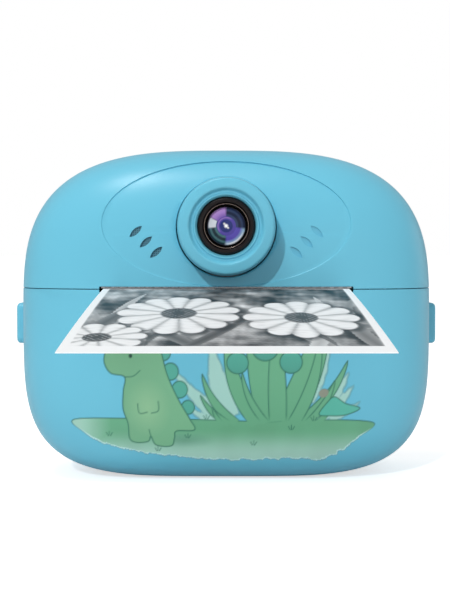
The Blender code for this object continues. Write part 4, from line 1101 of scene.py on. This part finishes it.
def paintMeadow(x, z):
    art = newCanvas(x, z)
    ink = {name: linear(code) for name, code in meadow["inks"].items()}
    rough = 0.22 * waves(x, z, 2.6, 3) + 0.12 * waves(x, z, 0.9, 4)
    for base, tip, bend, width in meadow["faintBlades"]:
        d = loopDistance(x, z, bladeLoop(base, tip, bend, width))
        lay(art, filled(d + 0.4 * rough, 0.5) * 0.78, ink["pale"])
    ground = loopDistance(x, z, smoothLoop(meadow["ground"]))
    ragged = ground + rough * np.clip((13 - z) / 5, 0, 1)
    fall = np.clip((z - 6.0) / 7.5, 0, 1)
    fall = np.minimum(fall * fall * (3 - 2 * fall), np.clip((x + 36) / 9, 0.15, 1))
    shadeOver = ink["mint"] * (1 - fall[:, None]) + ink["deep"] * fall[:, None]
    lay(art, filled(ragged), shadeOver * (1 + 0.03 * waves(x, z, 9, 5))[:, None])
    lay(art, filled(np.abs(ragged + 0.15) - 0.16) * np.clip((13.5 - z) / 2, 0, 1) * 0.8, ink["edge"])
    lay(art, filled(np.abs(ground) - 0.11) * np.clip((z - 13.6) / 1.2, 0, 1), ink["line"])
    for middle, radius in meadow["bumps"]:
        inked(art, blobDistance(x, z, middle, radius, radius * 1.1), ink["teal"] * 1.06, ink["line"])
    foot = blobDistance(x, z, (-9.6, 10.6), 4.2, 1.1)
    lay(art, filled(foot, 1.6) * 0.35, ink["line"])
    creature = loopDistance(x, z, smoothLoop(meadow["creature"]))
    coat = ink["green"] * (1 + 0.10 * np.clip((x + 24) / 14, -0.6, 1) - 0.05 * np.clip((z - 24) / 8, 0, 1))[:, None]
    lay(art, filled(creature), coat)
    belly = blobDistance(x, z, (-18.2, 18.4), 4.3, 5.6, 6)
    lay(art, filled(belly, 2.4) * 0.4, ink["light"])
    lay(art, filled(np.abs(creature) - 0.13), ink["line"])
    for line in meadow["creatureLines"]:
        lay(art, filled(strokeDistance(x, z, smoothOpen(line), 0.11)), ink["line"])
    lay(art, filled(blobDistance(x, z, (-22.2, 30.6), 0.42, 0.5)), ink["line"] * 0.4)
    for base, tip, bend, width in meadow["blades"]:
        d = loopDistance(x, z, bladeLoop(base, tip, bend, width))
        tone = ink["deep"] * (1 + 0.10 * np.clip((z - 15) / 20, 0, 1))[:, None]
        lay(art, filled(d), tone)
        lay(art, filled(np.abs(d) - 0.12) * np.clip((z - 15.2) / 1.5, 0, 1), ink["line"])
    for middle, radius in meadow["fruits"]:
        d = blobDistance(x, z, middle, radius, radius)
        inked(art, d, ink["teal"] * (1 + 0.12 * np.clip((z - middle[1]) / radius, -1, 1))[:, None], ink["line"], 0.13)
    inked(art, loopDistance(x, z, smoothLoop(meadow["sideLeaf"])), ink["teal"] * 1.25, ink["line"])
    lay(art, filled(blobDistance(x, z, (22.6, 21.9), 1.2, 1.0, 30)), ink["brown"])
    for cx, cz in meadow["tufts"]:
        for lean, high in ((-0.7, 0.8), (0.0, 1.1), (0.7, 0.8)):
            d = strokeDistance(x, z, [(cx + lean * 0.4, cz), (cx + lean, cz + high)], 0.09)
            lay(art, filled(d, 0.18), ink["line"])
    return art


snapshot = {
    "halfWidth": 26.9, "length": 83.0,
    "flowers": [((-9.5, 44), 12.5, 27, 13, 0.2), ((14.5, 50), 11.5, 25, 12, 0.5), ((-23, 74), 9, 16, 11, 0.1)],
    "stems": [((-9, 60), (-14, 84), 0.1, 2.2), ((14, 66), (19, 84), -0.1, 2.0)],
}


def paintSnapshot(u, v):
    # a grey picture of daisies; u runs across the sheet and v from the slot outwards
    tone = 0.36 + 0.22 * waves(u, v * 0.5, 16, 11) + 0.12 * waves(u, v * 0.5, 5, 12) + 0.05 * waves(u, v, 1.6, 13)
    for seed in range(9):
        random = np.random.RandomState(40 + seed)
        base = (random.uniform(-27, 27), 84)
        tip = (base[0] + random.uniform(-14, 14), random.uniform(2, 60))
        d = loopDistance(u, v, bladeLoop(base, tip, random.uniform(-0.12, 0.12), random.uniform(3, 6)))
        tone = np.where(d < 0, random.uniform(0.12, 0.7) + 0.1 * np.clip(d + 1, -1, 1), tone)
    for base, tip, bend, width in snapshot["stems"]:
        d = loopDistance(u, v, bladeLoop(base, tip, bend, width))
        tone = np.where(d < 0, 0.28, tone)
    for (cu, cv), halfU, halfV, petals, phase in snapshot["flowers"]:
        du, dv = (u - cu) / halfU, (v - cv) / halfV
        r, a = np.hypot(du, dv), np.arctan2(dv, du)
        ripple = np.abs(np.cos(petals * (a + phase) / 2))
        rim = 0.80 + 0.2 * np.sqrt(ripple)
        petal = np.clip((rim - r) / 0.03, 0, 1)
        drop = np.clip((rim + 0.10 - np.hypot(du - 0.06, dv - 0.05)) / 0.12, 0, 1)
        tone = tone * (1 - 0.55 * drop)
        bright = 0.97 - 0.38 * (1 - ripple) ** 2 - 0.22 * np.clip(0.5 - r, 0, 1) + 0.04 * waves(u, v, 3, 21)
        tone = tone * (1 - petal) + bright * petal
        eye = np.clip((0.30 - r) / 0.03, 0, 1)
        seeds = 0.12 + 0.30 * (np.sin(u * 5.2) * np.sin(v * 2.6) > 0.2) * (r > 0.1) + 0.1 * (0.3 - r)
        tone = tone * (1 - eye) + seeds * eye
    tone = np.clip(tone, 0.03, 0.97)
    inside = np.minimum(snapshot["halfWidth"] - np.abs(u), snapshot["length"] - v)
    paper = np.clip(0.5 - inside / 0.3, 0, 1)
    tone = tone**1.6 * (1 - paper) + sheet["paperWhite"] * paper
    return np.stack([tone, tone, tone], 1)


def setColours(obj, name, rgb, cover):
    layer = obj.data.color_attributes.new(name, "FLOAT_COLOR", "POINT")
    layer.data.foreach_set("color", np.concatenate([rgb, cover[:, None]], 1).astype(np.float32).ravel())


def pointsOf(obj):
    found = np.empty(len(obj.data.vertices) * 3)
    obj.data.vertices.foreach_get("co", found)
    return found.reshape(-1, 3)


def cutFiner(obj, chosen, cuts):
    # divides the faces that pass the test
    pick(obj)
    mesh = bmesh.new()
    mesh.from_mesh(obj.data)
    for element in [*mesh.verts, *mesh.edges, *mesh.faces]:
        element.select = False
    for face in mesh.faces:
        if chosen(face):
            face.select_set(True)
    mesh.to_mesh(obj.data)
    mesh.free()
    bpy.ops.object.mode_set(mode="EDIT")
    bpy.context.tool_settings.mesh_select_mode = (False, False, True)
    bpy.ops.mesh.subdivide(number_cuts=cuts, quadcorner="INNERVERT")
    bpy.context.tool_settings.mesh_select_mode = (True, False, False)
    leaveEditMode()


def paintDoor(obj, finish):
    (x0, z0), (x1, z1) = door["artLow"], door["artHigh"]
    nearSkin = 0.6

    def inPatch(face):
        c = face.calc_center_median()
        inFront = face.normal.y < -0.1 and c.y < skinAt(c.x, c.z) + nearSkin
        return len(face.verts) == 4 and x0 < c.x < x1 and z0 < c.z < z1 and inFront

    cutFiner(obj, inPatch, door["finer"])
    points = pointsOf(obj)
    x, z = points[:, 0], points[:, 2]
    onSkin = (x > x0 - 0.01) & (x < x1 + 0.01) & (z > z0 - 0.01) & (z < z1 + 0.01)
    onSkin &= points[:, 1] < frontSkin(x, z) + nearSkin
    points[onSkin, 1] = frontSkin(x[onSkin], z[onSkin])
    obj.data.vertices.foreach_set("co", points.ravel())
    rgb, cover = np.zeros((len(points), 3)), np.zeros(len(points))
    art = paintMeadow(x[onSkin], z[onSkin])
    rgb[onSkin], cover[onSkin] = art["rgb"], art["cover"]
    setColours(obj, "printedPicture", rgb, cover)
    return finishPiece(obj, finish, "door", ["paper_door"])


sheet = {"thick": 0.16, "across": 40, "along": 46, "finer": 4, "paperWhite": 0.985}


def makeSheet(finish):
    low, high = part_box("printed_photo")
    low, high = low / mm, high / mm
    middle = (low.x + high.x) / 2
    half, start, length = (high.x - low.x) / 2, high.y, high.y - low.y
    level = body["seamZ"]
    droop = level - 0.15 - low.z
    us, vs = np.linspace(-half, half, sheet["across"] + 1), np.linspace(0.02, length - 0.02, sheet["along"] + 1)
    gridU, gridV = np.meshgrid(us, vs)

    def heightAt(v):
        share = v / length
        return level - droop * (0.8 * share + 0.2 * share**2) * 0.995

    heights = heightAt(gridV.ravel()) + sheet["thick"] / 2
    points = np.stack([middle + gridU.ravel(), start - gridV.ravel(), heights], 1)
    faces = gridFaces(sheet["along"], sheet["across"])
    obj = addMesh("printed_sheet", points, faces)
    outwards(obj)
    if sum(f.normal.z for f in obj.data.polygons) < 0:
        obj.data.flip_normals()
    applyModifier(obj, "SOLIDIFY", thickness=sheet["thick"], offset=-1)
    cutFiner(obj, lambda face: face.normal.z > 0.5, sheet["finer"])
    points = pointsOf(obj)
    v = start - points[:, 1]
    upper = points[:, 2] > heightAt(v) - 0.02
    points[upper, 2] = heightAt(v[upper]) + sheet["thick"] / 2
    obj.data.vertices.foreach_set("co", points.ravel())
    rgb = np.full((len(points), 3), sheet["paperWhite"])
    rgb[upper] = paintSnapshot(points[upper, 0] - middle, v[upper])
    setColours(obj, "snapshotPicture", rgb, np.ones(len(points)))
    return finishPiece(obj, finish, "photo", ["printed_photo"], 50)


# paints reflections onto the lens glass as fixed colour: tinted quarters, rings and white highlights
def paintLensReflections(obj):
    points = pointsOf(obj) / mm
    x, z = points[:, 0], points[:, 2] - lens["centre"][2]
    r, a = np.hypot(x, z) / lens["dome"]["radius"], np.degrees(np.arctan2(z, x)) % 360
    tint = {name: linear(code) for name, code in lens["reflectionTints"].items()}

    def blend(first, second, t):
        t = np.clip(t, 0, 1)[:, None]
        return first * (1 - t) + second * t

    def within(low, high, soft=5):
        return np.clip(np.minimum(a - low, high - a) / soft + 0.5, 0, 1)

    one = np.ones((len(r), 3))
    upperLeft = blend(one * tint["pinkDark"], one * tint["pink"], (r - 0.45) / 0.35)
    upperRight = blend(one * tint["navy"], one * tint["slate"], 0.3 + 0.5 * np.sin(r * 24 + 1.2))
    lowerRight = blend(one * tint["violet"], one * tint["sky"], (r - 0.70) / 0.2)
    lowerLeft = blend(one * tint["teal"], one * tint["tealRim"], 0.15 + 0.45 * np.sin(r * 24 + 1.2))
    rgb = upperRight.copy()
    for part, low, high in ((upperLeft, 92, 150), (lowerLeft, 186, 268), (lowerRight, 268, 352)):
        rgb = blend(rgb, part, within(low, high, 8))
    # painted highlight: a white glint band on the left of the glass
    paintedGlint = within(152, 186, 6) * np.clip((r - 0.5) / 0.04, 0, 1) * np.clip((0.92 - r) / 0.04, 0, 1)
    rgb = blend(rgb, one * tint["white"] * 0.8, paintedGlint)
    # painted highlight: a pale band along the lower right rim
    rgb = blend(rgb, one * tint["white"], within(275, 335, 25) * np.clip((r - 0.83) / 0.04, 0, 1) * 0.95)
    rgb = blend(rgb, one * tint["violet"] * 0.75, (0.5 - r) / 0.03)
    rgb = blend(rgb, one * tint["pink"] * 0.8, (1 - np.abs(r - 0.42) / 0.045) * within(60, 215, 30))
    rgb = blend(rgb, one * tint["core"] * 0.7, (0.34 - r) / 0.04)
    # painted highlights: three soft white spots
    for cx, cz, size, light in ((-0.05, 0.03, 0.5, 1.0), (-0.45, 0.5, 0.3, 0.7), (0.4, -0.4, 0.26, 0.8)):
        rgb = blend(rgb, one * light, 1.3 * (1.15 - np.hypot(x - cx, z - cz) / size))
    rgb = blend(rgb, one * tint["slate"] * 0.8, 1 - np.abs(r - 0.945) / 0.018)
    rgb = blend(rgb, one * tint["black"], (r - 0.955) / 0.01)
    setColours(obj, "paintedReflections", rgb, np.ones(len(r)))


# finishes

def attributeOf(tree, name):
    node = tree.nodes.new("ShaderNodeAttribute")
    node.attribute_name = name
    return node


def mathOf(tree, operation, *sources):
    # each source is another node's output or a plain number
    node = tree.nodes.new("ShaderNodeMath")
    node.operation = operation
    for source, socket in zip(sources, node.inputs):
        if isinstance(source, float):
            socket.default_value = source
        else:
            link(tree, source, socket)
    return node.outputs[0]


def mixColours(tree, factor, first, second):
    node = tree.nodes.new("ShaderNodeMix")
    node.data_type = "RGBA"
    link(tree, factor, node.inputs["Factor"])
    for source, socket in ((first, node.inputs[6]), (second, node.inputs[7])):
        link(tree, source, socket)
    return node.outputs[2]


shellLook = {"colour": (0.137, 0.500, 0.660), "roughness": 0.34, "grain": 1500.0, "bump": 0.05, "vary": 0.012}


def makeFinishes():
    f = {}
    f["shell"] = mouldedPlastic("bluePlastic", **shellLook)
    made = mouldedPlastic("printedBluePlastic", **shellLook)
    tree = made.node_tree
    shader = tree.nodes["Principled BSDF"]
    plain = shader.inputs["Base Color"].links[0].from_socket
    art = attributeOf(tree, "printedPicture")
    link(tree, mixColours(tree, art.outputs["Alpha"], plain, art.outputs["Color"]), shader.inputs["Base Color"])
    f["printedShell"] = made
    f["black"] = mouldedPlastic("blackPlastic", (0.007, 0.004, 0.004), 0.34, 1200, 0.04, 0.1, Specular_IOR_Level=0.3)
    f["gold"] = brushedMetal("warmMetal", (0.40, 0.31, 0.26), 0.22, (1, 0.1, 1))
    # opaque glass whose base colour carries the painted reflections and highlights
    made, tree, shader = newFinish("glassWithPaintedReflections", (0.1, 0.1, 0.2), 0.12, Specular_IOR_Level=0.35)
    paintedReflections = attributeOf(tree, "paintedReflections")
    link(tree, paintedReflections.outputs["Color"], shader.inputs["Base Color"])
    smear = noiseOf(tree, 500, 2)
    link(tree, ramp(tree, smear, [(0.3, 0.08), (0.7, 0.16)]), shader.inputs["Roughness"])
    f["lensGlass"] = made
    f["white"] = mouldedPlastic("whiteKeyPlastic", (0.82, 0.85, 0.86), 0.38, 1400, 0.04, 0.015)
    f["gauze"] = makeGauzeFinish()
    f["ink"] = mouldedPlastic("greyInk", (0.09, 0.11, 0.13), 0.5, 1600, 0.03, 0.05)
    f["rubber"] = mouldedPlastic("blueRubber", (0.115, 0.43, 0.57), 0.55, 1800, 0.12, 0.03)
    f["steel"] = brushedMetal("brushedSteel", (0.60, 0.61, 0.63), 0.28, (0.1, 1, 1))
    f["chassis"] = mouldedPlastic("greyPlastic", (0.115, 0.12, 0.13), 0.48, 900, 0.15, 0.06)
    f["nylon"] = mouldedPlastic("whiteNylon", (0.80, 0.79, 0.73), 0.45, 900, 0.06, 0.03)
    f["brass"] = brushedMetal("turnedBrass", (0.76, 0.57, 0.26), 0.26)
    f["bronze"] = brushedMetal("sinteredBronze", (0.55, 0.36, 0.20), 0.45, (1, 1, 1), 2500)
    f["aluminium"] = brushedMetal("castAluminium", (0.62, 0.63, 0.65), 0.4, (0.15, 1, 1), 900)
    f["ceramic"] = mouldedPlastic("glazedCeramic", (0.78, 0.75, 0.66), 0.22, 600, 0.03, 0.04)
    f["platen"] = mouldedPlastic("groundRubber", (0.022, 0.022, 0.024), 0.75, 2600, 0.3, 0.15)
    f["board"] = makeBoardFinish()
    f["wrap"] = mouldedPlastic("silverWrap", (0.62, 0.64, 0.67), 0.32, 300, 0.1, 0.05)
    f["card"] = makeCardFinish()
    f["paper"] = makePaperFinish()
    f["snapshot"] = makeSnapshotFinish()
    f["screen"] = makeScreenFinish()
    f["panel"] = mouldedPlastic("panelGlass", (0.03, 0.034, 0.04), 0.15, 700, 0.02, 0.1)
    return f


def makeGauzeFinish():
    made, tree, shader = newFinish("wovenGauze", (0.06, 0.14, 0.18), 0.7)
    coords = tree.nodes.new("ShaderNodeTexCoord")
    threads = []
    for direction in ("X", "Z"):
        wave = tree.nodes.new("ShaderNodeTexWave")
        wave.bands_direction = direction
        wave.inputs["Scale"].default_value = 700.0
        link(tree, coords.outputs["Object"], wave.inputs["Vector"])
        threads.append(wave.outputs["Fac"])
    crossed = mathOf(tree, "MAXIMUM", *threads)
    threadTones = ramp(tree, crossed, [(0.2, (0.035, 0.09, 0.12)), (0.8, (0.10, 0.24, 0.30))])
    link(tree, threadTones, shader.inputs["Base Color"])
    addBump(tree, shader, crossed, 0.4, 0.0001)
    return made


def makeBoardFinish():
    made, tree, shader = newFinish("circuitBoard", (0.02, 0.16, 0.07), 0.4)
    coords = tree.nodes.new("ShaderNodeTexCoord")
    brick = tree.nodes.new("ShaderNodeTexBrick")
    turn = tree.nodes.new("ShaderNodeMapping")
    turn.inputs["Rotation"].default_value = (math.radians(90), 0, 0)
    link(tree, coords.outputs["Object"], turn.inputs["Vector"])
    link(tree, turn.outputs["Vector"], brick.inputs["Vector"])
    for socket, value in (
        ("Color1", (0.02, 0.17, 0.075, 1)), ("Color2", (0.016, 0.13, 0.06, 1)), ("Mortar", (0.05, 0.30, 0.12, 1))
    ):
        brick.inputs[socket].default_value = value
    for socket, value in (("Scale", 130.0), ("Mortar Size", 0.04), ("Brick Width", 0.9), ("Row Height", 0.3)):
        brick.inputs[socket].default_value = value
    link(tree, brick.outputs["Color"], shader.inputs["Base Color"])
    addBump(tree, shader, brick.outputs["Fac"], 0.2, 0.0001)
    return made


def makeCardFinish():
    made, tree, shader = newFinish("greyBoardTube", (0.45, 0.36, 0.26), 0.85)
    fibres = noiseOf(tree, 900, 5, (0.2, 1, 1))
    tones = ramp(tree, fibres, [(0.3, (0.36, 0.28, 0.19)), (0.7, (0.52, 0.43, 0.31))])
    link(tree, tones, shader.inputs["Base Color"])
    addBump(tree, shader, fibres, 0.4, 0.0002)
    return made


def makePaperFinish():
    made, tree, shader = newFinish("thermalPaper", (0.88, 0.89, 0.90), 0.62)
    fibres = noiseOf(tree, 2500, 5)
    tones = ramp(tree, fibres, [(0.3, (0.86, 0.87, 0.88)), (0.7, (0.91, 0.92, 0.93))])
    link(tree, tones, shader.inputs["Base Color"])
    addBump(tree, shader, fibres, 0.12, 0.00005)
    return made


def makeSnapshotFinish():
    made, tree, shader = newFinish("printedThermalPaper", (0.9, 0.9, 0.9), 0.5)
    picture = attributeOf(tree, "snapshotPicture")
    grain = ramp(tree, noiseOf(tree, 3500, 2), [(0.35, 0.98), (0.65, 1.0)])
    blended = tree.nodes.new("ShaderNodeMix")
    blended.data_type = "RGBA"
    blended.blend_type = "MULTIPLY"
    blended.inputs["Factor"].default_value = 1.0
    link(tree, picture.outputs["Color"], blended.inputs[6])
    link(tree, grain, blended.inputs[7])
    link(tree, blended.outputs[2], shader.inputs["Base Color"])
    addBump(tree, shader, noiseOf(tree, 2500, 4), 0.08, 0.00005)
    return made


def makeScreenFinish():
    # black glass with a slightly lighter working area behind it
    made, tree, shader = newFinish("screenGlass", (0.008, 0.009, 0.011), 0.06, Coat_Weight=0.5, Coat_Roughness=0.03)
    coords = tree.nodes.new("ShaderNodeTexCoord")
    split = tree.nodes.new("ShaderNodeSeparateXYZ")
    link(tree, coords.outputs["Object"], split.inputs["Vector"])
    inside = []
    for axis, (middle, half) in display["working"].items():
        away = mathOf(tree, "ABSOLUTE", mathOf(tree, "SUBTRACT", split.outputs[axis], middle))
        inside.append(mathOf(tree, "LESS_THAN", away, half))
    tones = ramp(
        tree, mathOf(tree, "MULTIPLY", *inside), [(0.0, (0.006, 0.006, 0.007)), (1.0, (0.022, 0.025, 0.030))]
    )
    link(tree, tones, shader.inputs["Base Color"])
    link(tree, ramp(tree, noiseOf(tree, 120, 3), [(0.35, 0.05), (0.75, 0.10)]), shader.inputs["Roughness"])
    return made


# building it

finishes = makeFinishes()
shellFinish = finishes["shell"]
makeFrontCover(shellFinish)
makeGauze(finishes["gauze"])
print("front cover done")
paintDoor(makeDoor(), finishes["printedShell"])
print("paper door done")
makeRearCover(shellFinish)
print("rear cover done")
makeLens(shellFinish, finishes["black"], finishes["gold"], finishes["lensGlass"])
paintLensReflections(bpy.data.objects["lens_front_glass"])
print("lens done")
makeReleaseButtons(shellFinish)
makeKeys(finishes["white"], finishes["ink"])
makeTopButtons(finishes["white"], finishes["ink"])
makePortCover(finishes["rubber"])
makeDisplay(finishes["screen"])
makeScrews(finishes["steel"])
print("buttons, keys, screen and screws done")
makeSheet(finishes["snapshot"])
print("printed sheet done")

innerFinishes = {
    "chassis": ["print_chassis", "platen_carrier"],
    "nylon": ["platen_gear", "idler_gear"],
    "brass": ["motor_pinion"],
    "bronze": ["platen_bush_left", "platen_bush_right"],
    "steel": ["hinge_pin_left", "hinge_pin_right", "idler_axle", "platen_shaft", "stepper_motor", "tear_bar",
              "head_spring_left", "head_spring_right", "release_spring_left", "release_spring_right", "usb_socket",
              "card_socket"],
    "aluminium": ["head_heat_sink"],
    "ceramic": ["thermal_head"],
    "platen": ["platen_sleeve"],
    "board": ["main_board", "key_board", "sensor_board"],
    "wrap": ["battery"],
    "card": ["roll_core"],
    "paper": ["paper_roll", "paper_web"],
    "black": ["lens_barrel", "speaker"],
    "panel": ["display_panel", "inner_lens"],
}
for finishName, nodeNames in innerFinishes.items():
    for nodeName in nodeNames:
        nodes[nodeName].data.materials.clear()
        nodes[nodeName].data.materials.append(finishes[finishName])
print("inner parts finished")


# studio

studio = {
    "camera": {"location": (-0.0003, -0.340, 0.0547), "pitch": -2.035, "lens": 81.4},
    "key": {"towards": (-0.31, -1.0, 0.56), "strength": 1.28, "angle": 1.6},
    "front": {"location": (0.55, -1.6, 0.10), "size": 1.4, "power": 2.2},
    "level": {"location": (0.0, -1.2, 0.24), "size": 0.22, "power": 0.8},
    "rim": {"location": (0.85, 0.45, 0.12), "size": 0.5, "power": 0.45},
    "top": {"location": (-0.2, -0.2, 0.78), "size": 0.22, "power": 1.9},
    "skyLight": 0.46, "floorColour": 0.82, "floorGlow": 0.62,
}


def addLamp(name, kind, location, target, energy, size=None, angle=None):
    data = bpy.data.lights.new(name, kind)
    data.energy = energy
    if size:
        data.shape = "SQUARE"
        data.size = size
    if angle:
        data.angle = math.radians(angle)
    lamp = bpy.data.objects.new(name, data)
    bpy.context.scene.collection.objects.link(lamp)
    lamp.location = location
    lamp.rotation_euler = (Vector(target) - Vector(location)).to_track_quat("-Z", "Y").to_euler()
    return lamp


middle = Vector((0, 0, 0.04))
key = studio["key"]
sunPlace = middle + Vector(key["towards"]).normalized()
sun = addLamp("keySun", "SUN", sunPlace, middle, key["strength"], angle=key["angle"])
blockers = bpy.data.collections.new("keyBlockers")  # the thin sheet lets the key light through, as a diffuser would
for obj in bpy.data.objects:
    if obj.type == "MESH" and obj.name != "printed_sheet":
        blockers.objects.link(obj)
sun.light_linking.blocker_collection = blockers
sun.visible_glossy = False
for name in ("front", "top", "level", "rim"):
    p = studio[name]
    box = addLamp(name + "Softbox", "AREA", p["location"], middle, p["power"], size=p["size"])
    box.visible_glossy = name != "level"

world = bpy.data.worlds.new("paleStudio")
bpy.context.scene.world = world
world.use_nodes = True
tree = world.node_tree
tree.nodes.clear()
seen, lighting = tree.nodes.new("ShaderNodeBackground"), tree.nodes.new("ShaderNodeBackground")
lighting.inputs["Strength"].default_value = studio["skyLight"]
lighting.inputs["Color"].default_value = (0.97, 0.99, 1.0, 1)
seen.inputs["Color"].default_value = (1, 1, 1, 1)
pathKind, chooser = tree.nodes.new("ShaderNodeLightPath"), tree.nodes.new("ShaderNodeMixShader")
result = tree.nodes.new("ShaderNodeOutputWorld")
link(tree, pathKind.outputs["Is Camera Ray"], chooser.inputs["Fac"])
link(tree, lighting.outputs[0], chooser.inputs[1])
link(tree, seen.outputs[0], chooser.inputs[2])
link(tree, chooser.outputs[0], result.inputs["Surface"])

bpy.ops.mesh.primitive_plane_add(size=30, location=(0, 0, -0.0002))
floor = bpy.context.active_object
floor.name = "paleFloor"
made, tree, shader = newFinish("paleFloorPaper", [studio["floorColour"]] * 3, 0.9)
shader.inputs["Emission Color"].default_value = (1, 1, 1, 1)
shown = tree.nodes.new("ShaderNodeLightPath")
glow = mathOf(tree, "MULTIPLY", shown.outputs["Is Camera Ray"], studio["floorGlow"])
link(tree, glow, shader.inputs["Emission Strength"])
shader.inputs["Specular IOR Level"].default_value = 0.1
floor.data.materials.append(made)

cameraData = bpy.data.cameras.new("studioCamera")
cameraData.lens = studio["camera"]["lens"]
cameraData.clip_start = 0.01
camera = bpy.data.objects.new("studioCamera", cameraData)
camera.location = studio["camera"]["location"]
camera.rotation_euler = (math.radians(90 + studio["camera"]["pitch"]), 0, 0)
bpy.context.scene.collection.objects.link(camera)
bpy.context.scene.camera = camera
bpy.context.scene.view_settings.view_transform = "Standard"
print("studio done")
